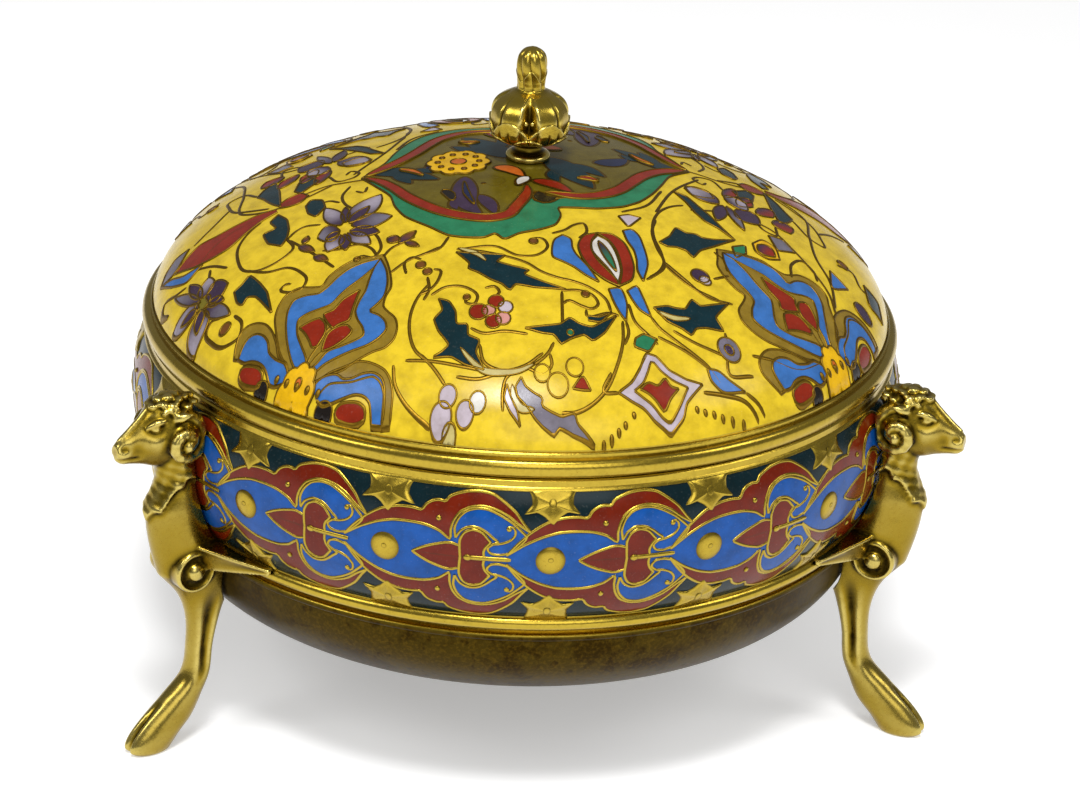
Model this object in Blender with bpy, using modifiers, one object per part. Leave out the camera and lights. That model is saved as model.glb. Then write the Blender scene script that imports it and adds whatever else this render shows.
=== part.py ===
"""A champleve enamel bonbonniere: a round lidded box on three ram's-head legs.

The pieces are a turned bowl, a domed lid that lifts off, the bud finial on the
lid, and three cast legs that hug the bowl and stand on cloven feet. Sizes are
in metres, +Z is up, the table is at Z = 0 and one leg points to +Y.
"""

from math import atan2, cos, degrees, exp, hypot, pi, radians, sin

import bmesh
import bpy
from mathutils import Matrix, Vector

# Overall sizes
SEAM_R = 0.0720            # radius where the lid meets the bowl
SEAM_HEIGHT = 0.0700       # height of that seam above the table
TURN_STEPS = 36            # facets of the turned bowl and lid
SEAT_GAP = 0.0003          # air between pieces that touch

# Bowl
RIM_HEIGHT = 0.0019        # plain rim above the enamel band
BAND_HEIGHT = 0.0258       # enamel band
BAND_BULGE = 0.0035        # swell of the band past a straight side
BAND_TAPER = 0.0017        # foot of the band is this much smaller than its top
BEAD_HEIGHT = 0.0026       # half-round bead under the band
BEAD_PROUD = 0.0009
GROOVE_DEPTH = 0.0012      # groove between the bead and the thin bead below it
GROOVE_HEIGHT = 0.0011
THIN_BEAD_HEIGHT = 0.0014
UNDERSIDE_HEIGHT = 0.0195  # from the thin bead down to the flat base
UNDERSIDE_POWER = 2.5      # 2 is an ellipse, more is squarer
BASE_R = 0.0300            # flat middle of the underside
BOWL_WALL = 0.0028
BOWL_FLOOR = 0.0030

# Lid
RING_HEIGHT = 0.0033       # half-round ring at the lid's edge
RING_PROUD = 0.0008
FILLET_HEIGHT = 0.0009     # thin step between ring and dome
DOME_INSET = 0.0013        # the dome starts this far inside the seam radius
DOME_RISE = 0.0284
DOME_POWER = 1.23          # 1 is an ellipse, more is flatter at the shoulder
LID_WALL = 0.0026
LIP_DEPTH = 0.0034         # locating lip that drops into the bowl's mouth
LIP_WALL = 0.0018
LIP_CLEARANCE = 0.0004

# Finial
FINIAL_HEIGHT = 0.0218
FINIAL_FOOT_R = 0.0043
FINIAL_NECK_R = 0.0031
BULB_R = 0.0078
BUD_R = 0.0033
FINIAL_STEPS = 24
BULB_PETALS = 6
BUD_RIBS = 6
PETAL_DEPTH = 0.11         # groove between petals, as a share of the radius
RIB_DEPTH = 0.10

# Legs
LEG_COUNT = 3
FIRST_LEG = 60.0           # degrees round from the front
NOSE_REACH = 0.0148        # muzzle beyond the widest part of the bowl
FOOT_REACH = 0.0134        # toe beyond the widest part of the bowl
SHANK_DEPTH = 0.0054       # slim part of the leg, along the radius
SHANK_WIDTH = 0.0056
SHANK_GROOVE = 0.20        # flute down each side of the shank, as a share of its width
HOOF_WIDTH = 0.0062
HOOF_CLEFT = 0.30          # split at the front of the hoof, as a share of its depth
NECK_WIDTH = 0.0056
CHEST_WIDTH = 0.0090
CHEST_REACH = 0.0078       # wool collar beyond the widest part of the bowl
HEAD_WIDTH = 0.0086
HEAD_TOP = 0.0021          # crown above the seam
KNEE_DROP = 0.0058         # scroll's centre below the foot of the band
KNEE_OUT = 0.0008          # scroll's centre beyond the widest part of the bowl
SCROLL_R = 0.0037
SCROLL_WIDTH = 0.0104
BOSS_R = 0.0017
BOSS_PROUD = 0.0009
HORN_R = 0.0044
HORN_THICKNESS = 0.0029
HORN_SPREAD = 0.0045       # middle of the head to the middle of each curl
HORN_DROP = 0.0064         # curl's centre below the seam
HORN_OUT = 0.0032          # curl's centre beyond the widest part of the bowl
WOOL_R = 0.0013            # curls of wool on the crown and the collar
WING_SPAN = 15.5           # degrees each side of the leg
WING_HEIGHT = 0.0050
WING_PROUD = 0.0046

GOLD = (0.62, 0.45, 0.10, 1.0)
YELLOW = (0.80, 0.62, 0.04, 1.0)

RIM_TOP = SEAM_HEIGHT - SEAT_GAP / 2
LID_FOOT = SEAM_HEIGHT + SEAT_GAP / 2
BAND_TOP = RIM_TOP - RIM_HEIGHT
BAND_FOOT = BAND_TOP - BAND_HEIGHT
BAND_FOOT_R = SEAM_R - BAND_TAPER
BEAD_FOOT = BAND_FOOT - BEAD_HEIGHT
GROOVE_FOOT = BEAD_FOOT - GROOVE_HEIGHT
UNDERSIDE_TOP = GROOVE_FOOT - THIN_BEAD_HEIGHT
BASE_Z = UNDERSIDE_TOP - UNDERSIDE_HEIGHT
MOUTH_R = SEAM_R - BOWL_WALL
DOME_R = SEAM_R - DOME_INSET
DOME_FOOT = LID_FOOT + RING_HEIGHT + FILLET_HEIGHT
DOME_TOP = DOME_FOOT + DOME_RISE
KNEE_Z = BAND_FOOT - KNEE_DROP


def collection(name, shown):
    made = bpy.data.collections.new(name)
    made.hide_render = not shown
    bpy.context.scene.collection.children.link(made)
    return made


def principled(name, colour, metallic, roughness):
    material = bpy.data.materials.new(name)
    material.use_nodes = True
    shader = material.node_tree.nodes["Principled BSDF"]
    shader.inputs["Base Color"].default_value = colour
    shader.inputs["Metallic"].default_value = metallic
    shader.inputs["Roughness"].default_value = roughness
    return material


def add(name, mesh, into, material=None):
    obj = bpy.data.objects.new(name, mesh)
    into.objects.link(obj)
    if material:
        mesh.materials.append(material)
    return obj


def mesh_from(work, name):
    """Closes a bmesh: doubles merged, faces pointing out, edges softened."""
    bmesh.ops.remove_doubles(work, verts=work.verts, dist=0.000001)
    bmesh.ops.recalc_face_normals(work, faces=work.faces)
    mesh = bpy.data.meshes.new(name)
    work.to_mesh(mesh)
    work.free()
    mesh.shade_smooth()
    mesh.set_sharp_from_angle(angle=radians(40))
    return mesh


def evaluated(obj):
    """An object's mesh with its modifiers applied; the object itself goes."""
    bpy.context.view_layer.update()
    graph = bpy.context.evaluated_depsgraph_get()
    work = bmesh.new()
    work.from_mesh(bpy.data.meshes.new_from_object(obj.evaluated_get(graph)))
    name = obj.name
    bpy.data.objects.remove(obj, do_unlink=True)
    return mesh_from(work, name)


def turned(name, profile, steps, into):
    """Turns a profile of (radius, height) points, top to bottom down its outside, about Z."""
    points = [(radius, 0.0, height) for radius, height in profile]
    line = bpy.data.meshes.new(name)
    line.from_pydata(points, [(i, i + 1) for i in range(len(points) - 1)], [])
    obj = add(name, line, into)
    screw = obj.modifiers.new("turn", "SCREW")
    screw.steps = steps
    screw.render_steps = steps
    screw.use_merge_vertices = True
    screw.merge_threshold = 0.00001
    return evaluated(obj)


def loft(name, rings):
    """A closed skin through rings of as many points each, with a cap on the first and last."""
    work = bmesh.new()
    rows = [[work.verts.new(point) for point in ring] for ring in rings]
    count = len(rows[0])
    for low, high in zip(rows, rows[1:]):
        for i in range(count):
            work.faces.new((low[i], low[i - 1], high[i - 1], high[i]))
    work.faces.new(rows[0])
    work.faces.new(rows[-1])
    return mesh_from(work, name)


def eased(rows, share):
    """Reads a table whose first column is a share, on a smooth curve through its rows."""
    last = len(rows) - 2
    i = max(0, min(last, sum(row[0] <= share for row in rows) - 1))
    low, high = rows[i], rows[i + 1]
    before, after = rows[max(0, i - 1)], rows[min(last + 1, i + 2)]
    t = (share - low[0]) / (high[0] - low[0])
    values = []
    for column in range(1, len(low)):
        span = high[0] - low[0]
        start = (high[column] - before[column]) / (high[0] - before[0]) * span
        end = (after[column] - low[column]) / (after[0] - low[0]) * span
        a, b = low[column], high[column]
        curve = (2 * t**3 - 3 * t**2 + 1) * a + (t**3 - 2 * t**2 + t) * start
        values.append(curve + (3 * t**2 - 2 * t**3) * b + (t**3 - t**2) * end)
    return values


def boolean(base, mesh, operation):
    """Joins a mesh to an object, or cuts it away, for good."""
    tool = bpy.data.objects.new("tool", mesh)
    bpy.context.scene.collection.objects.link(tool)
    modifier = base.modifiers.new("tool", "BOOLEAN")
    modifier.operation = operation
    modifier.object = tool
    modifier.solver = "EXACT"
    bpy.context.view_layer.update()
    graph = bpy.context.evaluated_depsgraph_get()
    result = bpy.data.meshes.new_from_object(base.evaluated_get(graph))
    base.modifiers.clear()
    base.data = result
    bpy.data.objects.remove(tool, do_unlink=True)


def band_radius(share):
    """Outer radius of the enamel band at a share of its height, from its top."""
    arch = (4 * share * (1 - share)) ** 0.8
    return SEAM_R + BAND_BULGE * arch - BAND_TAPER * share**2


def band_profile(count):
    return [(band_radius(i / count), BAND_TOP - BAND_HEIGHT * i / count) for i in range(count + 1)]


WIDEST_R = max(radius for radius, _ in band_profile(7))
AXIS_Y = -NOSE_REACH / 2   # puts the middle of the whole piece's box on the origin


def underside(count):
    """A squarish quarter from the thin bead round to the flat base."""
    width = BAND_FOOT_R - GROOVE_DEPTH / 2 - BASE_R
    points = []
    for i in range(count + 1):
        turn = pi / 2 * i / count
        radius = BASE_R + width * cos(turn) ** (2 / UNDERSIDE_POWER)
        points.append((radius, UNDERSIDE_TOP - UNDERSIDE_HEIGHT * sin(turn) ** (2 / UNDERSIDE_POWER)))
    return points


def bowl_outside():
    """The bowl's outer profile, from the mouth down to the edge of the flat base."""
    proud = BAND_FOOT_R + BEAD_PROUD
    points = [(SEAM_R, RIM_TOP)] + band_profile(7)
    points.append((proud, BAND_FOOT - BEAD_HEIGHT * 0.3))
    points.append((proud, BAND_FOOT - BEAD_HEIGHT * 0.7))
    points.append((BAND_FOOT_R - GROOVE_DEPTH, BEAD_FOOT))
    points.append((BAND_FOOT_R - GROOVE_DEPTH, GROOVE_FOOT))
    points.append((BAND_FOOT_R, GROOVE_FOOT - THIN_BEAD_HEIGHT * 0.4))
    return points + underside(5)


def bowl_inside():
    """The bowl's inner profile, from the middle of its floor up to the mouth."""
    side = BOWL_WALL * 0.9
    points = [(0.0, BASE_Z + BOWL_FLOOR)]
    for radius, height in reversed(underside(4)):
        points.append((radius - side, height + BOWL_FLOOR))
    for share in (0.75, 0.4):
        points.append((band_radius(share) - BOWL_WALL, BAND_TOP - BAND_HEIGHT * share))
    return points + [(MOUTH_R, BAND_TOP), (MOUTH_R, RIM_TOP)]


def make_bowl(into, material):
    profile = bowl_inside() + bowl_outside() + [(0.0, BASE_Z)]
    return add("bowl", turned("bowl", profile, TURN_STEPS, into), into, material)


def dome(radius, rise, turn):
    """A point of a dome: turn runs from 0 at its foot to a quarter at its top."""
    return radius * cos(turn), rise * sin(turn) ** DOME_POWER


def lid_profile():
    """Over the dome, round the ring, down and up the lip, and back under the dome."""
    top = LID_FOOT + RING_HEIGHT
    lip_r = MOUTH_R - LIP_CLEARANCE
    points = [(0.0, DOME_TOP)]
    for i in range(7, -1, -1):
        radius, rise = dome(DOME_R, DOME_RISE, pi / 2 * i / 8)
        points.append((radius, DOME_FOOT + rise))
    points.append((DOME_R, top))
    for i in range(5):
        turn = radians(70 - 35 * i)
        bulge = SEAM_R + RING_PROUD * cos(turn)
        points.append((bulge, top - RING_HEIGHT * (1 - sin(turn) / sin(radians(70))) / 2))
    points.append((lip_r, LID_FOOT))
    points.append((lip_r, LID_FOOT - LIP_DEPTH))
    points.append((lip_r - LIP_WALL, LID_FOOT - LIP_DEPTH))
    under = DOME_TOP - LID_WALL - LID_FOOT
    for i in range(1, 6):
        radius, rise = dome(lip_r - LIP_WALL, under, pi / 2 * i / 6)
        points.append((radius, LID_FOOT + rise))
    return points + [(0.0, DOME_TOP - LID_WALL)]


def make_lid(into, material):
    return add("lid", turned("lid", lid_profile(), TURN_STEPS, into), into, material)


def make_finial(into, material):
    """Foot, neck, petalled bulb and ribbed bud, turned and then grooved by angle."""
    foot = DOME_TOP + SEAT_GAP
    stations = [
        (FINIAL_FOOT_R, 0.0), (FINIAL_FOOT_R, 0.05), (FINIAL_NECK_R, 0.09), (FINIAL_NECK_R, 0.13),
        (BULB_R * 0.66, 0.17), (BULB_R * 0.90, 0.24), (BULB_R, 0.35), (BULB_R * 0.95, 0.45),
        (BULB_R * 0.76, 0.54), (BULB_R * 0.46, 0.60), (BUD_R * 0.84, 0.63), (BUD_R * 0.94, 0.73),
        (BUD_R, 0.82), (BUD_R * 0.86, 0.92), (BUD_R * 0.50, 0.98),
    ]
    profile = [(radius, foot + FINIAL_HEIGHT * share) for radius, share in reversed(stations)]
    mesh = turned("finial", [(0.0, foot + FINIAL_HEIGHT)] + profile + [(0.0, foot)], FINIAL_STEPS, into)
    for vertex in mesh.vertices:
        x, y, z = vertex.co
        share = (z - foot) / FINIAL_HEIGHT
        turn = atan2(y, x)
        groove = 0.0
        if 0.14 < share < 0.61:
            groove = PETAL_DEPTH * (1 - abs(cos(BULB_PETALS / 2 * turn))) * sin(pi * (share - 0.14) / 0.47)
        elif 0.62 < share < 0.97:
            groove = RIB_DEPTH * (1 - abs(cos(BUD_RIBS / 2 * turn)))
        vertex.co.x = x * (1 - groove)
        vertex.co.y = y * (1 - groove)
    return add("finial", mesh, into, material)


def leg_body():
    """Cloven foot, fluted shank, chest and neck, as level slices; +X is outwards."""
    # share of the height from the table to the scroll, back, front, half width
    below = [
        (0.00, 0.0042, FOOT_REACH - 0.0016, HOOF_WIDTH * 0.42),
        (0.03, 0.0032, FOOT_REACH - 0.0003, HOOF_WIDTH * 0.49),
        (0.08, 0.0020, FOOT_REACH, HOOF_WIDTH * 0.52),
        (0.16, -0.0008, FOOT_REACH - 0.0024, HOOF_WIDTH * 0.50),
        (0.27, -0.0028, FOOT_REACH - 0.0078, HOOF_WIDTH * 0.47),
        (0.38, -0.0044, SHANK_DEPTH - 0.0040, SHANK_WIDTH * 0.49),
        (0.55, 0.0002 - SHANK_DEPTH, 0.0000, SHANK_WIDTH * 0.48),
        (0.72, -0.0016 - SHANK_DEPTH, -0.0002, SHANK_WIDTH * 0.50),
        (0.86, -0.0092, 0.0006, SHANK_WIDTH * 0.56),
        (1.00, -0.0110, 0.0046, CHEST_WIDTH * 0.50),
    ]
    # share of the height from the scroll to the seam, back, front, half width
    above = [
        (0.00, -0.0110, 0.0046, CHEST_WIDTH * 0.50),
        (0.14, -0.0080, CHEST_REACH - 0.0016, CHEST_WIDTH * 0.52),
        (0.28, -0.0050, CHEST_REACH - 0.0006, CHEST_WIDTH * 0.49),
        (0.40, -0.0040, CHEST_REACH, CHEST_WIDTH * 0.46),
        (0.50, -0.0030, CHEST_REACH - 0.0010, CHEST_WIDTH * 0.36),
        (0.60, -0.0020, CHEST_REACH - 0.0020, NECK_WIDTH * 0.52),
        (0.76, -0.0014, CHEST_REACH - 0.0012, NECK_WIDTH * 0.50),
    ]
    levels = [(below, 0.0, KNEE_Z, i / 12) for i in range(13)]
    levels += [(above, KNEE_Z, SEAM_HEIGHT - KNEE_Z, 0.76 * i / 6) for i in range(1, 7)]
    count = 12
    rings = []
    for rows, foot, height, share in levels:
        back, front, half = eased(rows, share)
        shank = exp(-((share - 0.58) / 0.24) ** 2) if rows is below else 0.0
        hoof = max(0.0, 1 - share / 0.24) ** 0.5 if rows is below else 0.0
        ring = []
        for i in range(count):
            turn = 2 * pi * i / count
            out = WIDEST_R + (front + back) / 2 + (front - back) / 2 * cos(turn)
            out -= HOOF_CLEFT * hoof * (front - back) / 2 * max(0.0, cos(turn)) ** 16
            side = half * sin(turn) * (1 - SHANK_GROOVE * shank * sin(turn) ** 8)
            ring.append((out, side, foot + height * share))
        rings.append(ring)
    return loft("leg", rings)


def ram_head():
    """The head as upright slices, from the back of the skull to the muzzle."""
    # share of the reach, underside and top from the seam, half width
    rows = [
        (0.00, -0.0080, HEAD_TOP - 0.0010, HEAD_WIDTH * 0.36),
        (0.14, -0.0104, HEAD_TOP - 0.0002, HEAD_WIDTH * 0.47),
        (0.32, -0.0114, HEAD_TOP, HEAD_WIDTH * 0.50),
        (0.50, -0.0110, HEAD_TOP - 0.0012, HEAD_WIDTH * 0.45),
        (0.64, -0.0102, HEAD_TOP - 0.0034, HEAD_WIDTH * 0.34),
        (0.80, -0.0096, HEAD_TOP - 0.0054, HEAD_WIDTH * 0.25),
        (0.93, -0.0090, HEAD_TOP - 0.0070, HEAD_WIDTH * 0.20),
        (1.00, -0.0080, HEAD_TOP - 0.0082, HEAD_WIDTH * 0.12),
    ]
    count = 10
    rings = []
    for step in range(9):
        share = step / 8
        low, high, half = eased(rows, share)
        ring = []
        for i in range(count):
            turn = 2 * pi * i / count
            cheek = 1 - 0.16 * max(0.0, -sin(turn))
            side = half * cos(turn) * cheek
            rise = SEAM_HEIGHT + (low + high) / 2 + (high - low) / 2 * sin(turn)
            ring.append((WIDEST_R + NOSE_REACH * share, side, rise))
        rings.append(ring)
    return loft("head", rings)


def horn(side):
    """A thick horn from the brow back over the ear and round into its own curl."""
    centre = Vector((WIDEST_R + HORN_OUT, 0.0, SEAM_HEIGHT - HORN_DROP))
    count = 12
    curve = bpy.data.curves.new("horn", "CURVE")
    curve.dimensions = "3D"
    curve.bevel_depth = HORN_THICKNESS / 2
    curve.bevel_resolution = 1
    curve.use_fill_caps = True
    spline = curve.splines.new("POLY")
    spline.points.add(count - 1)
    for i, point in enumerate(spline.points):
        share = i / (count - 1)
        turn = radians(60 + 430 * share)
        radius = HORN_R * (1.45 - 0.75 * share ** 0.8) - HORN_THICKNESS / 2 * (1 - 0.4 * share)
        out = HORN_SPREAD * (0.42 + 0.58 * min(1.0, 2.6 * share)) + HORN_THICKNESS * 0.25 * share
        point.co = (*(centre + Vector((radius * cos(turn), side * out, radius * sin(turn)))), 1.0)
        point.radius = 1.0 - 0.45 * share
    obj = bpy.data.objects.new("horn", curve)
    bpy.context.scene.collection.objects.link(obj)
    return evaluated(obj)


def drum(radius, width, centre, sides):
    """A round drum lying across the leg."""
    work = bmesh.new()
    bmesh.ops.create_cone(work, cap_ends=True, segments=sides, radius1=radius, radius2=radius, depth=width)
    turn = Matrix.Rotation(radians(90), 4, "X")
    bmesh.ops.transform(work, matrix=Matrix.Translation(centre) @ turn, verts=work.verts)
    return mesh_from(work, "drum")


def bump(radius, centre):
    """One curl of wool."""
    work = bmesh.new()
    bmesh.ops.create_uvsphere(work, u_segments=6, v_segments=3, radius=radius)
    bmesh.ops.translate(work, verts=work.verts, vec=centre)
    return mesh_from(work, "curl")


def wool_curls():
    """Curls in two rows over the crown, and the ragged hem of the collar in a V."""
    places = []
    for out, count in ((0.0046, 2), (0.0068, 3)):
        for i in range(count):
            side = (i - (count - 1) / 2) * WOOL_R * 1.6
            places.append((out, side, SEAM_HEIGHT + HEAD_TOP - WOOL_R * 0.8))
    collar = SEAM_HEIGHT - 0.0155
    for side in (-1, 1):
        for share in (0.3, 1.0):
            out = CHEST_REACH - 0.0060 + 0.0042 * share
            places.append((out, side * CHEST_WIDTH * (0.37 - 0.13 * share), collar - 0.0045 * share))
    places.append((CHEST_REACH - WOOL_R * 0.7, 0.0, collar - 0.0066))
    return [bump(WOOL_R, Vector((WIDEST_R + out, side, height))) for out, side, height in places]


def wings():
    """A bracket round the bead under the band, deep at the scroll and thin at both tips."""
    top = BAND_FOOT + 0.0004
    inner = BAND_FOOT_R - 0.003
    rings = []
    for i in range(-7, 8):
        share = abs(i) / 7
        turn = radians(WING_SPAN) * i / 7
        height = WING_HEIGHT * (1 - 0.74 * share)
        proud = BAND_FOOT_R + BEAD_PROUD + WING_PROUD * (1 - share) ** 1.4 + 0.0006
        section = [
            (inner, top), (proud - 0.0008, top), (proud, top - height * 0.25),
            (proud - 0.0012 * (1 - share), top - height), (inner, top - height),
        ]
        rings.append([(radius * cos(turn), radius * sin(turn), z) for radius, z in section])
    return loft("wings", rings)


def bowl_envelope(into):
    """The bowl's outside and the lid's ring, filled and grown by the seat gap."""
    grow = SEAT_GAP * 1.4
    top = SEAM_HEIGHT + RING_HEIGHT + HEAD_TOP
    ring = SEAM_R + RING_PROUD + grow
    points = [(0.0, top), (ring, top), (ring, BAND_TOP + grow)]
    points += [(radius + grow, height) for radius, height in band_profile(7)[1:]]
    proud = BAND_FOOT_R + BEAD_PROUD + grow
    points += [(proud, BAND_FOOT), (proud, GROOVE_FOOT)]
    points += [(radius + grow, height - grow) for radius, height in underside(5)]
    return turned("envelope", points + [(0.0, BASE_Z - grow)], TURN_STEPS, into)


def make_legs(into, hidden, material, axis):
    scroll = Vector((WIDEST_R + KNEE_OUT, 0.0, KNEE_Z))
    leg = add("leg", leg_body(), hidden)
    pieces = [ram_head(), horn(1), horn(-1), wings()]
    pieces.append(drum(SCROLL_R, SCROLL_WIDTH, scroll, 12))
    pieces.append(drum(BOSS_R, SCROLL_WIDTH + 2 * BOSS_PROUD, scroll, 10))
    for piece in pieces + wool_curls():
        boolean(leg, piece, "UNION")
    boolean(leg, bowl_envelope(hidden), "DIFFERENCE")
    work = bmesh.new()
    work.from_mesh(leg.data)
    mesh = mesh_from(work, "leg")
    mesh.materials.clear()
    mesh.materials.append(material)
    bpy.data.objects.remove(leg, do_unlink=True)
    names = ("leg_front_right", "leg_back", "leg_front_left")
    for i, name in enumerate(names[:LEG_COUNT]):
        copy = add(name, mesh, into)
        copy.rotation_euler.z = radians(FIRST_LEG - 90 + 360 / LEG_COUNT * i)
        copy.parent = axis


def main():
    for obj in list(bpy.data.objects):
        bpy.data.objects.remove(obj, do_unlink=True)
    shown = collection("bonbonniere", True)
    hidden = collection("cutters", False)
    gilt = principled("gilt_bronze", GOLD, 1.0, 0.3)
    enamel = principled("yellow_enamel", YELLOW, 0.0, 0.2)
    axis = bpy.data.objects.new("bonbonniere_axis", None)
    shown.objects.link(axis)
    axis.location.y = AXIS_Y
    for piece in (make_bowl(shown, gilt), make_lid(shown, enamel), make_finial(shown, gilt)):
        piece.parent = axis
    make_legs(shown, hidden, gilt, axis)


main()
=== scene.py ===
"""The looks of a champleve enamel bonbonniere: gilt bronze, enamel pictures, carved legs and finial."""

from math import cos, hypot, pi, radians, sin

import bmesh
import bpy
import numpy as np
from mathutils import Matrix, Vector

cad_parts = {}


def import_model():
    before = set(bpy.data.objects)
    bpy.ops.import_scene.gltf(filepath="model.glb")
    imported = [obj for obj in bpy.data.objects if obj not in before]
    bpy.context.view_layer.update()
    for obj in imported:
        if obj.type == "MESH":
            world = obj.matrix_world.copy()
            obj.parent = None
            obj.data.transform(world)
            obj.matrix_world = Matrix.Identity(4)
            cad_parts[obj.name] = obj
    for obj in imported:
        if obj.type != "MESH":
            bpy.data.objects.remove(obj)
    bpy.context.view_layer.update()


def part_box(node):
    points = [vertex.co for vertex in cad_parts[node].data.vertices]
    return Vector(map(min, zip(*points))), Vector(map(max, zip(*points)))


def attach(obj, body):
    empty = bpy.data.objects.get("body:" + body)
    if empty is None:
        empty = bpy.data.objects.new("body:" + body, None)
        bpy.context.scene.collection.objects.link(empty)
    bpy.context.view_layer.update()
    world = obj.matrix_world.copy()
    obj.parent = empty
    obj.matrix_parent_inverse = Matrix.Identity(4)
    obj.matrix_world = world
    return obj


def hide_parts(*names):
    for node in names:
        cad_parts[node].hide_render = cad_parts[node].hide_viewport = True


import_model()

# Sizes in millimetres, read from the frame where the frame has them
MM = 0.001
bowl_low, bowl_high = (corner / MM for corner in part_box("bowl"))
lid_low, lid_high = (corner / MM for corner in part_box("lid"))
finial_low, finial_high = (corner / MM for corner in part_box("finial"))
AXIS_Y = (bowl_low.y + bowl_high.y) / 2
SEAM = bowl_high.z + 0.15
SEAM_R = 72.0
BAND_TOP = bowl_high.z - 1.9
BAND_HEIGHT = 25.8
BAND_FOOT = BAND_TOP - BAND_HEIGHT
BAND_BULGE = 2.90              # less than the solid's, so that wires and bosses stay inside it
BAND_POWER = 0.8
BAND_TAPER = 1.7
BAND_FOOT_R = SEAM_R - BAND_TAPER
BEAD_FOOT = BAND_FOOT - 2.6
GROOVE_FOOT = BEAD_FOOT - 1.1
UNDERSIDE_TOP = GROOVE_FOOT - 1.4
UNDERSIDE_HEIGHT = UNDERSIDE_TOP - bowl_low.z
UNDERSIDE_POWER = 0.8
BASE_R = 30.0
BOWL_WALL = 2.8
BOWL_FLOOR = 3.0
DOME_R = SEAM_R - 1.3
DOME_RISE = 28.4
DOME_TOP = lid_high.z
DOME_FOOT = DOME_TOP - DOME_RISE
DOME_POWER = 1.23
RING_HEIGHT = 3.3
LID_FOOT = DOME_FOOT - 0.9 - RING_HEIGHT
LID_WALL = 2.6
WIDEST_R = 75.13
KNEE_Z = BAND_FOOT - 5.8
MAP_TURN = radians(-7.71)      # the pictures' own front, from the world's front
BAND_DEGREE = 1.29             # millimetres along the band in one degree
BAND_MIDDLE = -14.45           # the band's middle line, from the seam
BAND_STRETCH = 1.08            # the band's lower half is this much taller than its upper half
BAND_REPEATS = 16
INSIDE_LID = (0, AXIS_Y, SEAM - 20)
INSIDE_BOWL = (0, AXIS_Y, SEAM - 15)
TURN_STEPS = 216
CURVE_STEP = 0.55
SHARP_DEGREES = 38
MERGE = 0.002                  # points nearer than this become one

# Enamel colours, as the eye sees them, from 0 to 255
TINTS = {
    "yellow": (238, 204, 44), "blue": (62, 118, 192), "band_blue": (14, 86, 172), "red": (146, 40, 18),
    "band_red": (118, 30, 4), "teal": (14, 46, 54), "band_teal": (8, 34, 40), "green": (44, 128, 88),
    "olive": (106, 92, 18), "lime": (124, 112, 28), "purple": (66, 48, 72), "lilac": (200, 186, 196),
    "ash": (172, 162, 176), "white": (226, 222, 214), "pink": (214, 150, 140), "brown": (120, 74, 30),
    "orange": (206, 104, 34), "gold": (244, 190, 14), "pale_gold": (206, 190, 120), "black": (30, 24, 20),
    "grey": (122, 116, 130), "navy": (28, 36, 70), "border": (150, 122, 36),
}
BARE = (0, 0, 0)               # the tint of metal, which its material does not read
WALL = 0.42                    # width of a gilt line between two enamels on the lid
BAND_WALL = 0.55
STEM_WALL = 0.66
PETAL_WALL = 0.38
LAYER = 0.12                   # rise from one layer of enamel to the next
LAMP_SHARE = 0.77              # enamel's share of the light on the floor, so that both show as in daylight
EASE = 1.0                     # how round a line is at its points
CELL_EASE = 0.8
SPIKY_EASE = 0.25
SPIKY_TINTS = ("teal", "grey", "lilac", "green")
RINGS = np.array([0.02, 0.3, 0.55, 0.75, 0.9, 1.0])[:, None]


def linear(colour):
    """A colour of 0 to 255 as the light it gives back: the screen's curve undone, and the lamps' strength."""
    share = np.asarray(colour, float) / 255
    return LAMP_SHARE * np.where(share <= 0.04045, share / 12.92, ((share + 0.055) / 1.055) ** 2.4)


# The two edges of the palmette's heart, which its border and the blue cells beside it share
HEART_LEFT = (
    -37.3, -56.2, -37.2, -54.4, -38.2, -51.8, -39.3, -48.9, -39.2, -46.2, -38, -45.7, -36, -45.5, -33.5,
    -45.1, -32.3, -43.7, -30.6, -42.1, -29, -40.9, -26.5, -38.4
)
HEART_RIGHT = (
    -37.3, -56.2, -35.1, -55.5, -33.5, -54.3, -31.4, -54.2, -29, -53.9, -27.3, -53.3, -27.6, -51.7, -28.6,
    -49.9, -29.1, -48.1, -28.6, -46.1, -27.7, -44.1, -27.2, -41.4, -26.5, -38.4
)

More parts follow.
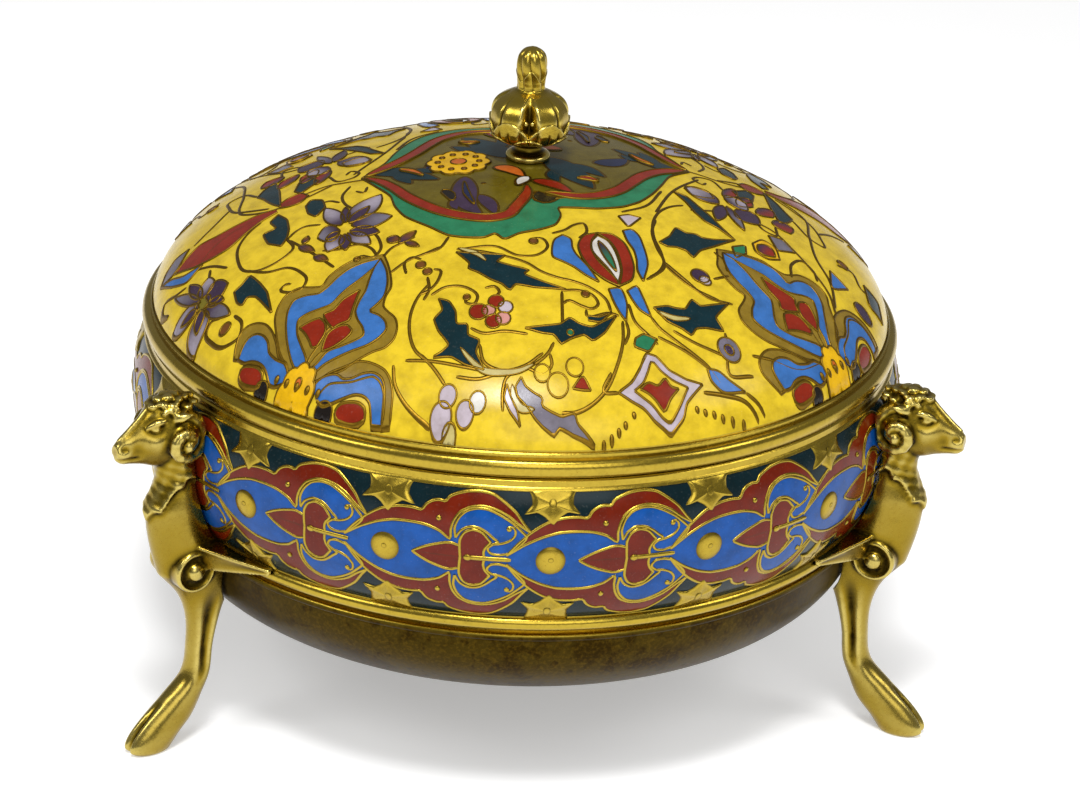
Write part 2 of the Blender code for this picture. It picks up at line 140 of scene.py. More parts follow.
# The lid's picture. Its points were picked in the photo and turned into places on the lid's plan.
# Each cell has its tint, its layer and its two edges, as x, y pairs in millimetres.
LID_CELLS = {
    "palmette": (
        ("border", 0.4, (-40.8, -53.7, -42.2, -50.9, -43.2, -47, -43.7, -43.7, -43.3, -41.7, -42.1, -39.7,
         -40, -39, -37.1, -40, -35.7, -40.3, -34.8, -38.6, -32.8, -36.7, -30.1, -35.3, -27.6, -35.4, -25,
         -35.3), (-35.9, -58, -33.1, -58, -30.4, -58.1, -28, -57.3, -25.4, -56.6, -23.3, -56.3, -22, -55.2,
         -21.5, -53, -22, -51, -23.3, -49.5, -24.2, -48.2, -24, -46.1, -23.2, -44.2, -23.4, -41.3, -24.1,
         -38.1, -25, -35.3)),
        ("blue", 1, (-38.6, -55.8, -39.9, -53.2, -41, -49.5, -41.5, -46, -41.4, -43.6, -40.5, -41.7, -38.4,
         -41.5, -35.9, -41.9, -34.6, -41, -33, -39.2, -31, -37.6, -28.6, -36.7, -25.5, -36.3), HEART_LEFT),
        ("blue", 1, (-36.3, -57.1, -34, -56.2, -31.6, -55.8, -29.2, -55.5, -26.5, -55.2, -24.5, -54.3, -23.4,
         -53, -23.7, -51.4, -24.8, -50, -26.6, -48.5, -26, -48, -24.4, -46.2, -23.9, -43.1, -24.3, -39.6,
         -25.5, -36.3), HEART_RIGHT),
        ("border", 0.8, HEART_LEFT, HEART_RIGHT),
        ("red", 1.6, (-28.7, -43.5, -31.6, -45, -33.1, -46.7, -34.7, -47, -33.9, -49, -32.9, -50.4), (-28.7,
         -43.5, -29.3, -45.9, -29.8, -48.1, -30.1, -49.6, -31.8, -49.9, -32.9, -50.4)),
        ("red", 1.6, (-38.9, -48.1, -37.5, -47.7, -35.4, -47.6, -34.3, -49.1, -34.2, -50.7, -35.3, -52.6),
         (-38.9, -48.1, -37.8, -49.6, -36.9, -51.3, -36.2, -52.7, -35.7, -52.8, -35.3, -52.6)),
        ("red", 1.6, (-34.5, -53.9, -34.2, -52.4, -33.6, -51.1, -32.1, -50.4, -30.3, -50.6, -29.6, -51.5),
         (-34.5, -53.9, -32.8, -53.9, -31.3, -53.4, -30, -52.7, -29.5, -52.1, -29.6, -51.5)),
        ("border", 0.4, (-40.3, -55.2, -40.8, -53.2, -42.2, -51.7, -43, -48.9, -44, -46.3, -45.4, -44.2,
         -47.2, -43, -48.9, -42.7, -50, -43.3, -50.5, -44.8, -50.7, -46.8), (-43.4, -54.6, -43.8, -54, -44.5,
         -52.2, -45.6, -50.8, -46.9, -49.8, -48.2, -49, -49, -48.3, -49.4, -47.9, -49.7, -47.6, -50.1, -47.3,
         -50.7, -46.8)),
        ("blue", 1, (-40.3, -55, -40.9, -53.3, -42.7, -51.7, -44.2, -49.7, -44.5, -48.1, -45.6, -46.2, -47,
         -45.2, -48.3, -45.2, -49.2, -46.1, -49.8, -47.4), (-40.6, -55.7, -42.2, -55.3, -43.6, -54.4, -44.2,
         -52.9, -45, -51.4, -46.1, -50.2, -47.5, -49.2, -48.6, -48.7, -49.3, -48.1, -49.8, -47.4)),
        ("red", 1, (-49.5, -49.6, -49.2, -49.1, -47.2, -50, -45.6, -51.4, -45, -52.7, -45.4, -53.3), (-49.5,
         -49.6, -49.4, -50, -48.5, -51.1, -47.2, -52.2, -46.1, -53, -45.4, -53.3)),
        ("border", 0.4, (-35.8, -58.4, -33.1, -57.8, -30.1, -57.7, -27.7, -57.6, -25.2, -58.6, -23, -60.2,
         -22, -61.8, -21.5, -64, -21.6, -65.7, -21.7, -66.9), (-34.7, -59.9, -33, -59.3, -30.4, -59.9, -28.8,
         -60.3, -26.8, -60.4, -25, -60.6, -24, -61.4, -23.1, -63.1, -23.1, -65.3, -23.2, -66.5)),
        ("blue", 1, (-35.7, -58.7, -34.8, -58.1, -32.6, -58.1, -31.4, -58.5, -30.4, -59.4, -28.9, -59.8,
         -26.8, -59.7, -25.1, -60, -23.6, -61.1, -23, -62.4, -22.8, -64.4, -22.9, -65.7, -23.1, -66.5),
         (-34.8, -60.3, -33.8, -61.2, -31.8, -61.7, -29.7, -61.9, -28, -62.1, -26.4, -62.8, -25.4, -63.8,
         -25.1, -65, -24.9, -65.9)),
        ("red", 1, (-31.5, -62.6, -30.9, -62.3, -29, -62.6, -27.2, -63.3, -26.1, -64.4, -26.2, -65.1),
         (-31.5, -62.6, -31.3, -63.2, -30.3, -63.8, -29.1, -64.4, -27.3, -65, -26.2, -65.1)),
    ),
    "left": (
        ("red", 1, (-46.6, -10.5, -49.6, -10.1, -53.6, -10.6, -57.7, -11.1, -61.1, -10.7, -63.1, -12.3,
         -65.1, -14.8), (-46.3, -11.8, -48.9, -13.2, -52, -15.9, -54.7, -18.5, -57.5, -19, -60.6, -18.3,
         -65.1, -14.8)),
        ("red", 1, (-46.2, -8.8, -44.7, -7.1, -42.5, -6.4, -40.8, -8.5), (-45.9, -10.4, -44.2, -11, -42.2,
         -10.7, -40.8, -8.5)),
        ("grey", 1, (-67.9, -13.8, -67.3, -10.8, -65.8, -8.6, -63.2, -8.9), (-67.9, -13.8, -65.8, -14.5,
         -64.9, -13.7, -63.2, -8.9)),
        ("blue", 1, (-67.9, -13.8, -65.7, -15.6, -62.8, -18.5, -59.5, -19.1), (-67.9, -13.8, -65, -18.6,
         -62.1, -21.2, -59.5, -19.1)),
        ("teal", 1, (-51.1, -0.7, -50.2, 1.9, -48.4, 4.5, -46.9, -1.3, -45.9, -9.8), (-51.1, -0.7, -49.8,
         -2.9, -48.5, -5.8, -47.4, -7.8, -45.9, -9.8)),
        ("teal", 1, (-43.7, -4.6, -43.1, -0.3, -41.7, 1.7, -39.3, -2.5), (-43.7, -4.6, -42.4, -6.3, -41.2,
         -4.8, -39.3, -2.5)),
        ("teal", 1, (-46, -13.2, -47.3, -15.2, -45.9, -18.4, -48.2, -18.9, -46.9, -23, -44.4, -25.2), (-46,
         -13.2, -44.1, -16.3, -43.4, -20.3, -43.5, -22.9, -43.9, -24.3, -44.4, -25.2)),
        ("teal", 1, (-40.9, -13.1, -40.1, -11, -37.9, -12.2, -37.1, -15.4), (-40.9, -13.1, -40.2, -16.3,
         -38.6, -18.3, -37.1, -15.4)),
        ("teal", 1, (-52.1, -33.1, -50.7, -32.1, -49.6, -30.6, -47.5, -33.7, -45.8, -37, -44.5, -42.3),
         (-52.1, -33.1, -51.3, -36.1, -50.2, -37.5, -49.5, -36, -48, -36.8, -44.5, -42.3)),
    ),
    "front": (
        ("teal", 1, (-12, -36.5, -9.6, -36.9, -6.7, -37.2, -3.2, -37.5, -4.7, -39.2, -2, -40.3, 1.1, -41.3,
         0.2, -42.2, 3.6, -43.9, 7.8, -45.3), (-12, -36.5, -10.6, -38.2, -9.4, -39.8, -9.8, -40.9, -8, -41.9,
         -5.6, -43.8, -3.5, -44.9, -2.1, -46.4, -1.2, -44.9, 2.3, -45.4, 7.8, -45.3)),
        ("teal", 1, (-14.5, -48, -13.7, -50.5, -15.1, -52.3, -14.2, -54.7, -12.2, -57.5, -13.4, -58.6, -15.1,
         -59.4, -11.8, -59.5, -9.2, -61, -5.9, -62), (-14.5, -48, -12.7, -48.7, -11.4, -51, -11.1, -53.6,
         -9.2, -53.7, -9, -55.8, -6.9, -56.9, -7.5, -58.9, -6.4, -60.9, -5.9, -62)),
        ("teal", 1, (0.9, -54.4, 4.2, -53.7, 7.1, -53, 8.7, -51.5, 10.1, -52.4, 11.3, -52.7, 12.6, -52.8,
         14.8, -51.1, 16.8, -49.6), (0.9, -54.4, 4, -55.1, 6, -55.2, 7.3, -56.8, 9, -55.6, 11.3, -54.5, 12.8,
         -55.4, 14.8, -53.5, 16.8, -49.6)),
        ("teal", 1, (11.8, -50.6, 13.9, -50.5, 16, -49), (11.9, -51.5, 14, -51.5, 16, -49)),
        ("teal", 1, (23.5, -45.9, 26, -44.7, 27.3, -44.7, 29.1, -44.3, 30.4, -41.5, 31.9, -42.4, 34.3, -41,
         37.1, -39.3), (23.5, -45.9, 26, -48.1, 28.7, -48.7, 30.3, -49.4, 31.1, -47.7, 32.9, -46.8, 36.1,
         -46, 34.7, -43.9, 37.1, -39.3)),
        ("teal", 1, (24.6, -27.9, 26.5, -25.2, 27.8, -21.6, 29.6, -22.6, 31.5, -22.1, 32.6, -22.7, 34.8,
         -22.1, 38.7, -19.9), (24.6, -27.9, 26.1, -28.6, 27.7, -28.1, 29.6, -28.4, 30.8, -29.9, 32.1, -27.2,
         34.7, -24.5, 38.7, -19.9)),
        ("teal", 1, (27.5, -6.7, 30.1, -7.8, 32.2, -10.7, 34.3, -13.4, 36.4, -16.6, 38.9, -19.7), (27.5,
         -6.7, 30, -10.6, 31.4, -13.6, 33.5, -16.3, 35.6, -17.2, 38.9, -19.7)),
        ("grey", 1, (0.6, -63, -0.3, -64.4, 0.1, -65.7, 1.9, -67, 3.3, -68.2, 4.6, -68.9, 6.7, -69.5, 7.6,
         -68.8, 10, -69.1, 13.8, -69.2), (0.6, -63, 1.4, -64.3, 3.1, -65.2, 4.5, -65.7, 4.2, -66.6, 5.8,
         -67.2, 7.9, -67.6, 10.2, -66.9, 10.5, -67.9, 11.9, -68.5, 13.8, -69.2)),
        ("lilac", 1, (-1.8, -64.1, -2.2, -66, -1.1, -67.6, 0.8, -69.1), (-1.8, -64.1, -1, -65.9, 0.2, -67.5,
         0.8, -69.1)),
        ("red", 2, (13.2, -28.8, 10.9, -30.1, 9.8, -33, 10.6, -36.7, 12.4, -39.6, 15, -41.8, 17.2, -42.7),
         (13.2, -28.8, 12.2, -31.4, 12.1, -33.6, 13.2, -36.7, 15, -39.1, 17.1, -42, 17.2, -42.7)),
        ("red", 2, (13.2, -28.8, 15.8, -28.6, 17.9, -30.4, 19.3, -34, 19.9, -37.6, 19.5, -40.4, 17.2, -42.7),
         (13.2, -28.8, 15.2, -30.5, 16.5, -32.8, 17.3, -35.7, 17.7, -38.9, 17.4, -41.7, 17.2, -42.7)),
        ("white", 1.4, (13.2, -29.6, 12.2, -31.8, 12.4, -34.4, 13.9, -36.8, 15.3, -38.7, 17.1, -41.9), (13.2,
         -29.6, 15, -30.7, 16.3, -33.2, 17, -35.7, 17.5, -38.8, 17.1, -41.9)),
        ("blue", 1, (6.9, -30.6, 5.6, -32, 5.1, -34.9, 5.4, -37.3, 6.9, -38.1, 9, -39.3, 11.4, -41.2, 13.6,
         -42.4), (6.9, -30.6, 8.3, -31.4, 8.8, -34.3, 9.4, -35.8, 10.5, -37.4, 11.4, -38.6, 12.2, -39.9,
         13.6, -42.4)),
        ("blue", 1, (15.4, -43.8, 16.2, -46.2, 17.3, -48.5, 18.6, -50.3), (15.4, -43.8, 17.3, -43.1, 18.6,
         -46.1, 18.6, -50.3)),
        ("blue", 1, (17.9, -26.6, 18.7, -29.6, 19.9, -32.1, 20.4, -34.7, 20.6, -37.8, 21.6, -40.1), (17.9,
         -26.6, 19.5, -25.7, 20.8, -27.3, 21.5, -29.8, 22.4, -35.2, 21.6, -40.1)),
        ("blue", 1, (18.7, -43.4, 19.7, -45.3, 21, -47.1, 23, -48.1), (18.7, -43.4, 20.4, -41.8, 21.4, -43.9,
         23, -48.1)),
        ("green", 1, (20.3, -53.3, 21.6, -52.1, 24.1, -52.4), (20.3, -53.3, 20.1, -54.8, 22.7, -55.1, 24.1,
         -52.4)),
        ("lilac", 1, (17.6, -63, 19.9, -60.9, 21.2, -58.5, 22.2, -55.6, 23.9, -55.6, 26.3, -57.2, 29.4,
         -57.6, 32.3, -57.2), (17.6, -63, 20, -63.6, 22.1, -63.9, 24, -64.7, 27, -64.9, 29.2, -62.6, 29.5,
         -61, 32.3, -57.2)),
        ("yellow", 1.5, (20.3, -62.1, 21.8, -60.5, 22.6, -58.5, 23.2, -56.7, 24.8, -57.8, 27, -58.6, 29.7,
         -58.7), (20.3, -62.1, 21.8, -62.6, 23.6, -63.1, 25.2, -63.9, 26.7, -64, 28, -62.3, 29.7, -58.7)),
        ("red", 2.1, (21.3, -61.6, 22.8, -60.2, 24.3, -60.3, 25.7, -58.7, 26.5, -59.6, 28, -59.5), (21.3,
         -61.6, 22.7, -61.8, 24, -62.3, 25.6, -63.2, 26.6, -61.4, 28, -59.5)),
        ("red", 1, (9.6, -63.8, 11.2, -61.8, 12.7, -63.6), (9.6, -63.8, 11.3, -63.8, 12.7, -63.6)),
    ),
    "right": (
        ("lilac", 1, (17.1, -21.8, 18.9, -20.7, 21.2, -21), (17.1, -21.8, 18.9, -24.9, 21.2, -21)),
        ("purple", 1, (29.8, -3.8, 31.8, -1.9, 34.2, -2.2, 35.5, -4.9), (29.8, -3.8, 31.3, -6.3, 33.5, -6,
         35.5, -4.9)),
        ("grey", 1, (45.6, -12.7, 48.4, -11.9, 50.6, -14.7), (45.6, -12.7, 47.2, -16.9, 50.6, -14.7)),
        ("gold", 1, (42.3, -18.4, 44.5, -15.6, 46.6, -16.6, 47.4, -20.1), (42.3, -18.4, 42.9, -21, 44.9,
         -21.7, 47.4, -20.1)),
        ("green", 1, (38.3, -22.4, 40.8, -20.3, 40.9, -23), (38.3, -22.4, 38.8, -25.7, 40.9, -23)),
        ("blue", 1, (57.6, -13.6, 59.5, -14.7, 61, -15.7), (57.6, -13.6, 57.8, -19.2, 61, -15.7)),
        ("teal", 1, (64.9, -8, 67.7, -8.2, 68.4, -13.3), (64.9, -8, 65.8, -14, 68.4, -13.3)),
        ("blue", 1, (33.2, -54.4, 35.1, -53.9, 37.2, -54.4, 40.1, -54.6), (33.2, -54.4, 33.9, -55.9, 35.5,
         -56.6, 40.1, -54.6)),
    ),
}

# Petals: tint, layer, foot, tip and width
LID_PETALS = {
    "left": (
        ("ash", 1.2, (-32, -23.3), (-26.8, -14.7), 3.6), ("grey", 1.2, (-31.6, -24.4), (-24.3, -23.4), 3.4),
        ("purple", 1.2, (-31.7, -26.1), (-26.3, -28.3), 2.3),
        ("ash", 1.2, (-32.1, -26.8), (-27.7, -31.5), 2.1), ("purple", 1.2, (-32.7, -27), (-32.1, -32), 1.5),
        ("ash", 1.2, (-33.4, -27), (-35.4, -31.3), 2.5), ("grey", 1.2, (-33.7, -25.3), (-37.6, -26.3), 3.9),
        ("ash", 1.2, (-33.6, -23.7), (-37, -16.1), 2.3), ("purple", 1.2, (-32.8, -23), (-33.2, -17.4), 1.2),
        ("purple", 1.9, (-32, -23.6), (-28.7, -18.7), 1.6),
        ("purple", 1.9, (-33.8, -25.9), (-36, -27.5), 1.1),
        ("purple", 1.2, (-57.5, -30.2), (-53.6, -29.7), 3.9),
        ("ash", 1.2, (-58, -29.6), (-57.6, -24.8), 2.1),
        ("purple", 1.2, (-58.5, -29.3), (-61.3, -23.1), 1.3),
        ("grey", 1.2, (-58.6, -30.3), (-64.1, -22.9), 1.2),
        ("ash", 1.2, (-58.7, -31.4), (-63.6, -30.2), 2.8), ("ash", 1.2, (-58.1, -32.5), (-58.6, -39.2), 2.7),
        ("grey", 1.2, (-57.3, -32.7), (-52.4, -37.9), 1.7),
        ("purple", 1.2, (-56.8, -31.8), (-54, -33.6), 1.4),
        ("purple", 1.9, (-58.1, -32.3), (-58.4, -36.6), 1.2),
        ("purple", 1.9, (-59, -31.4), (-61.9, -31.4), 1.3), ("purple", 1.2, (-39.5, 6.9), (-44.1, 9.7), 4.2),
        ("ash", 1.2, (-38.2, 4.8), (-41.7, 2), 4), ("purple", 1.2, (-37, 7.1), (-35.7, 14.4), 1.8),
        ("ash", 1.2, (-36.3, 6.9), (-30, 2.8), 3.5), ("grey", 1.2, (-37.8, 6.8), (-40.9, 14.7), 1.4),
        ("brown", 1, (-24.7, -30.6), (-22.3, -31.8), 1.5), ("brown", 1, (-22.5, -32.5), (-19.6, -29.3), 1.3),
        ("brown", 1, (-21.4, -32.3), (-18.8, -34.1), 0.9), ("brown", 1, (-40.9, -27.1), (-37.9, -30.2), 1.1),
        ("brown", 1, (-37.8, -31.5), (-35.2, -33.8), 1.1), ("brown", 1, (-40.1, -26.7), (-39.5, -24.7), 0.9),
    ),
    "front": (
        ("green", 2.4, (13.4, -31.3), (16.7, -39.2), 1),
    ),
    "right": (
        ("red", 1, (37.5, 1.2), (40.2, 0.3), 4.5), ("red", 1, (40, -1), (43.1, -2.2), 4.3),
        ("red", 1, (44.3, -1.6), (47, -3.3), 4.2), ("red", 1, (47.7, -3.9), (50.2, -7.3), 3.3),
        ("red", 1.8, (43.2, -18.4), (46.5, -20), 2.8),
    ),
}

# Stems, as x, y pairs
LID_LINES = {
    "palmette": (
        (-37.3, -56.1, -36.9, -54.5, -35.3, -52.6, -33.8, -50.2, -31.8, -49.3),
        (-37.3, -56.2, -35.5, -54.4, -34.5, -53.9),
    ),
    "left": (
        (-47.3, 7.4, -47, 11.4, -45.1, 11.3, -43, 8.1),
        (-62.1, -22.7, -64, -22.2, -66.5, -20.6, -66.7, -22.3, -65.2, -25.2),
        (-62.2, -9, -59.2, -5.5, -56.4, -1),
        (-45.9, -9.8, -41, -7.2, -37.4, -6.1, -33.6, -6.4, -29.5, -6.7),
        (-43.6, -23.2, -42.1, -27.5, -44.8, -29.8, -48.2, -30.1, -50.6, -28.6, -52.4, -24.3, -52.7, -19.5,
         -51.2, -16, -49.2, -13.8),
        (-50.5, -28.7, -46, -31.8, -42.4, -32.6, -40, -34.9, -38.7, -37.6, -39.3, -39.2, -41.4, -39.3, -43.3,
         -37.7, -42.3, -36.9, -41.5, -37.3),
        (-43.2, -23.5, -42.6, -22.4, -40.6, -21, -37.5, -21.7),
        (-42.9, -24.3, -40.7, -27.2, -37.9, -30.9, -33.9, -36.1),
        (-36.4, -30.5, -33.2, -31.3, -29.7, -31, -27.4, -32.9, -26.2, -35.4),
        (-27.7, -27.3, -26.2, -30.5, -25.8, -33.8, -26.9, -35.5, -29.3, -34.6, -30, -35.4),
        (-33, -8.6, -34.2, -12.2, -33.3, -16.1, -31.6, -18.6),
        (-29.7, -10.3, -30.2, -12.5, -31.7, -11.3),
        (-37.5, -1.4, -35.2, -5.1, -32.5, -4.4, -31.7, -2.7, -33.5, -0.9, -34.2, -2.4),
        (-48.2, -8.9, -51.4, -6.9, -55.1, -3.6, -56.7, 0.8, -57, 4.6, -55.1, 4.8, -51.2, -0.1),
        (-57.6, -24.8, -57.7, -22.6),
        (-60.7, -19.4, -57.5, -21.6, -54.3, -24.9),
        (-51.5, -38.7, -49.9, -41.4, -50.2, -43.7, -52.5, -43.5, -55.5, -40.6, -56.7, -37.9, -55.9, -36.6,
         -54, -37.3),
        (-25.1, -35.8, -23.8, -33.7, -21.8, -32.4, -19.7, -31.1),
        (-23.5, -40.4, -20.7, -37.8, -17.3, -36.1, -15, -34.7),
        (-60.1, -18.7, -57.6, -14.8, -54.5, -12.9, -46.6, -11.1),
        (-37.8, -13.3, -36.8, -13.2, -34.5, -14.8),
    ),
    "front": (
        (-20.7, -41.2, -21, -38, -20, -37, -18.2, -37.8),
        (-6.5, -45.9, -4.8, -45.5, -3.9, -46.8, -4.9, -48.2),
        (-8.6, -54.5, -6.5, -55.5, -2.7, -55.1, 1.4, -55.5),
        (32.6, -58.2, 36.4, -56.9, 40.9, -55.7, 42.8, -56),
        (-16.5, -44.4, -18.3, -47.3, -19.3, -50.8, -19.2, -54.6, -18, -57.8, -15.8, -59.8),
        (-19.6, -59.2, -15.8, -59.8, -9.5, -61.3, -4.4, -62.4),
        (-21.7, -59.6, -21.2, -62.5, -19.6, -64.9, -17.4, -66.8, -14.7, -68.4),
        (-6.9, -57.6, -5.9, -60.7, -3, -62, 1.2, -61.1, 4.2, -58.8),
        (17.6, -63, 19.9, -60.9, 21.2, -58.5, 22.7, -55.1),
        (-12, -35.6, -8.3, -36.2, -3.4, -37.6, 0.7, -39.3, 3.5, -41.4, 6.3, -42.5, 9, -43, 12.5, -44.3, 15.1,
         -46.5, 15.9, -48.8),
        (7, -45.6, 10.1, -45.1, 12.7, -45.9, 13.6, -47.7, 12.5, -48.9, 10.8, -48.6, 8.1, -47.8, 7.3, -48.7),
        (7.1, -45.9, 7.4, -52.8),
        (-11.7, -35.7, -4.9, -35, -0.7, -37.4, 2.7, -36.8, 4.3, -34.1, 3.3, -32.1, 1.7, -32.1),
        (5, -30.3, 7.4, -28.7, 8.8, -27, 10.6, -26, 11.3, -28.5, 9.9, -30.9),
        (11.2, -28.5, 11.6, -30.5),
        (-17.9, -46.6, -16.5, -45.9, -14.7, -42.9, -14.6, -41.1, -15.8, -40.7),
        (-15.9, -47, -13.6, -45.4, -10.2, -45.5, -7.7, -47.9, -8.3, -49.5, -9.7, -49.1, -9.8, -48),
        (-16.8, -42.6, -16.4, -45.9, -17.2, -48),
        (24, -20.5, 23.3, -24.8, 24.2, -30, 25.4, -33.6, 24.5, -36.5, 22.7, -38.8),
        (25.4, -34.1, 27.6, -36.4, 30.4, -38.3, 35.6, -39.5),
        (18.6, -50.3, 19.1, -52.5, 18.4, -54.9),
        (23, -48.1, 24.5, -49.8, 27.6, -51.5, 30.7, -52.8, 33.3, -53.9, 35.5, -55.5),
        (19, -46.4, 20.4, -50.2, 22.5, -51.9, 24.3, -53.3),
        (18, -50.4, 18.1, -54.6, 17.2, -58.9, 15.6, -62.8, 13.1, -65.4, 10.1, -66.9, 7.9, -67.2),
        (-2.3, -67.6, -2.5, -65.2, -2, -63.2, 0.2, -61.8, 2.9, -60.7, 5.2, -58.5, 6, -56.7),
        (-17.2, -58.5, -15, -60.7, -12.5, -63.8),
        (-10.6, -62.8, -6.9, -63.3, -3, -62.4),
        (5.4, -58.8, 5.8, -60.7, 4.6, -62.1, 1.6, -61.5),
        (16.2, -60.3, 15, -63.4, 17.6, -63),
        (11.5, -49.3, 11.6, -50.5, 15.9, -49.2, 17.3, -49.4),
        (-13.6, -31.9, -15.2, -35.2, -18.5, -36.6),
    ),
    "right": (
        (41.4, -48.1, 44.8, -46.8, 49.4, -45.3, 55.1, -39.6),
        (59.4, -8.9, 62.6, -6.9, 64.2, -10.7, 67.4, -8.7),
        (30.7, -13.3, 35.9, -10.5, 41.1, -9.1, 46.6, -9.8, 50.1, -13.4, 53.6, -17.5, 57.1, -22.5, 58, -26.5),
        (36.6, 6.4, 42.1, 9.6, 47.9, 10.1, 53.4, 6.5, 54.2, -3.6, 55.1, -12.4, 57.4, -17.9, 58, -24.7),
        (49.5, -23.9, 49.8, -19.4, 52.2, -16.3, 54.1, -17.7, 54.7, -20.4),
        (29.3, -12.1, 27.4, -13.5, 24.7, -17.2, 23.7, -20.5, 23.6, -26.5, 25, -31.4, 25.4, -35.1, 23.7,
         -37.8, 22.2, -39.5),
        (25.4, -33.5, 29.5, -37.1, 33, -39.6, 37.9, -39.1),
        (25.3, -8.1, 22, -16.2, 17.7, -20),
        (24.1, -17.5, 27.6, -6.6, 32.7, 3),
        (36.4, -46.3, 36.8, -47.9),
        (36.8, -51.3, 37.1, -53.3, 41.6, -51.5),
        (34.8, -26.2, 36.7, -28.1, 37.1, -30.8),
        (34.5, -34.3, 37.3, -32),
        (36, -50.8, 30.8, -50.6, 27, -49.7),
        (33.6, -54.2, 29.4, -52.9, 24.3, -51.8),
        (40.3, -54.6, 42.8, -54.6, 43.9, -54.9),
    ),
}

# Pale gold curls on the leaves, as the middle lines of ribbons
LEAF_CURLS = (
    (-11.7, -35.5, -8.2, -37.3, -6.6, -39.1),
    (-10.2, -58.1, -8.4, -60.2, -5.9, -62.1, -2.9, -62.4, 0.3, -62, 2.9, -60.7),
    (-0.9, -64.1, -0.5, -65.9, 0.6, -67.1, 3.2, -67.2),
    (24, -46.6, 27, -47.1, 30.1, -46.1),
)

# Round cells: tint, middle and radius
LID_DISCS = {
    "left": (
        ("lime", (-58.1, -30.8), 1.5), ("brown", (-53, -40.2), 1), ("brown", (-29.8, -35.3), 0.6),
    ),
    "front": (
        ("red", (-7.4, -51.2), 1.6), ("pink", (-5.6, -51.0), 1.2), ("red", (-4.4, -49.0), 1.4),
        ("lilac", (-2.7, -50.2), 1.3), ("red", (-4.7, -53.2), 1.4), ("pink", (-3, -52.6), 1.3),
        ("lilac", (-11.9, -65.3), 1.5), ("lilac", (-12.9, -67.7), 1.8), ("lilac", (-8.8, -67.6), 1.5),
        # The white disc at (-6.7, -66.4), beside the lilac ones, is a painted highlight.
        ("white", (-6.7, -66.4), 1.4), ("yellow", (9.8, -60.5), 1.5), ("yellow", (7, -63.6), 1.8),
        ("yellow", (4.2, -62.1), 1.4), ("pale_gold", (-11.4, -69.5), 1.2), ("brown", (-18.2, -39.3), 0.9),
        ("brown", (-16.9, -41.2), 0.8), ("green", (8.8, -54.5), 0.6), ("brown", (11.3, -45.8), 0.7),
        ("brown", (1.7, -33.1), 0.8), ("brown", (-9.6, -48), 0.6),
    ),
    "right": (
        ("purple", (32, -34.7), 1.7), ("lilac", (32.9, -35.6), 1.1), ("brown", (60.6, -7.1), 1.1),
        ("purple", (63.9, -18.8), 1.8), ("grey", (37.1, -49.2), 2.1), ("purple", (37.1, -49.3), 0.9),
    ),
}

# Middles of the gilt beads beside the rim, as x, y pairs
LID_BEADS = (
    15.4, -68.9, 16.7, -68.2, 17.9, -67.4, 19, -66.5, 20.4, -65.1, 31.5, -60.8, 33, -60.5, 34.6, -60, 36.2,
    -59.6, 38, -58.9, 40.1, -58,
)


# Curves and points
def pairs(flat):
    """A flat row of numbers as places."""
    return np.reshape(flat, (-1, 2))


def columns(*arrays):
    """Arrays of one length, side by side."""
    return np.stack(arrays, axis=1)


def xyz(x, y, z):
    """Coordinates whose shapes fit together, as points."""
    return np.stack(np.broadcast_arrays(x, y, z), axis=-1)


def unmoved(places):
    """Places as they are drawn."""
    return places


def rotated(degrees):
    """A function that turns places about the middle of their map."""
    c, s = cos(radians(degrees)), sin(radians(degrees))
    return lambda places: np.stack([places[..., 0] * c - places[..., 1] * s,
                                    places[..., 0] * s + places[..., 1] * c], axis=-1)


def around(steps):
    """Even angles once round."""
    return np.arange(steps) * 2 * pi / steps


def step_up(value, low, high):
    """0 below low, 1 above high, with a smooth rise."""
    t = np.clip((value - low) / (high - low), 0, 1)
    return t * t * (3 - 2 * t)


def cubic(t, start, end, leaving, arriving):
    """The cubic from start to end at shares t of the way, with its slopes at the two ends."""
    return ((2 * t**3 - 3 * t**2 + 1) * start + (t**3 - 2 * t**2 + t) * leaving
            + (3 * t**2 - 2 * t**3) * end + (t**3 - t**2) * arriving)


def curve(points, ease=EASE, count=None):
    """A cubic through the points, its slope at each one a mean of its two sides, evened out by length."""
    given = np.asarray(points, float)
    if len(given) > 2 and ease:
        span = np.linalg.norm(np.diff(given, axis=0), axis=1)[:, None] + 1e-9
        slope = np.diff(given, axis=0) / span
        inner = (slope[1:] * span[:-1] + slope[:-1] * span[1:]) / (span[1:] + span[:-1])
        slopes = np.vstack([slope[:1], inner * ease, slope[-1:]])
        t = np.linspace(0, 1, 12, endpoint=False)[None, :, None]
        dense = cubic(t, given[:-1, None], given[1:, None],
                      slopes[:-1, None] * span[:, None], slopes[1:, None] * span[:, None])
        given = np.vstack([dense.reshape(-1, 2), given[-1:]])
    length = np.r_[0, np.cumsum(np.linalg.norm(np.diff(given, axis=0), axis=1))]
    steps = count or max(4, int(length[-1] / CURVE_STEP) + 1)
    at = np.linspace(0, length[-1], steps)
    return columns(*(np.interp(at, length, given[:, k]) for k in (0, 1)))


def sideways(line):
    """The unit direction to the left of a line, at each of its points."""
    along = np.gradient(line, axis=0)
    along /= np.linalg.norm(along, axis=1)[:, None] + 1e-12
    return columns(-along[:, 1], along[:, 0])


# Surfaces that carry the pictures
def world(x, y, z):
    """Points of the turned map as points of the world, in millimetres."""
    c, s = cos(MAP_TURN), sin(MAP_TURN)
    return xyz(x * c - y * s, x * s + y * c + AXIS_Y, z)


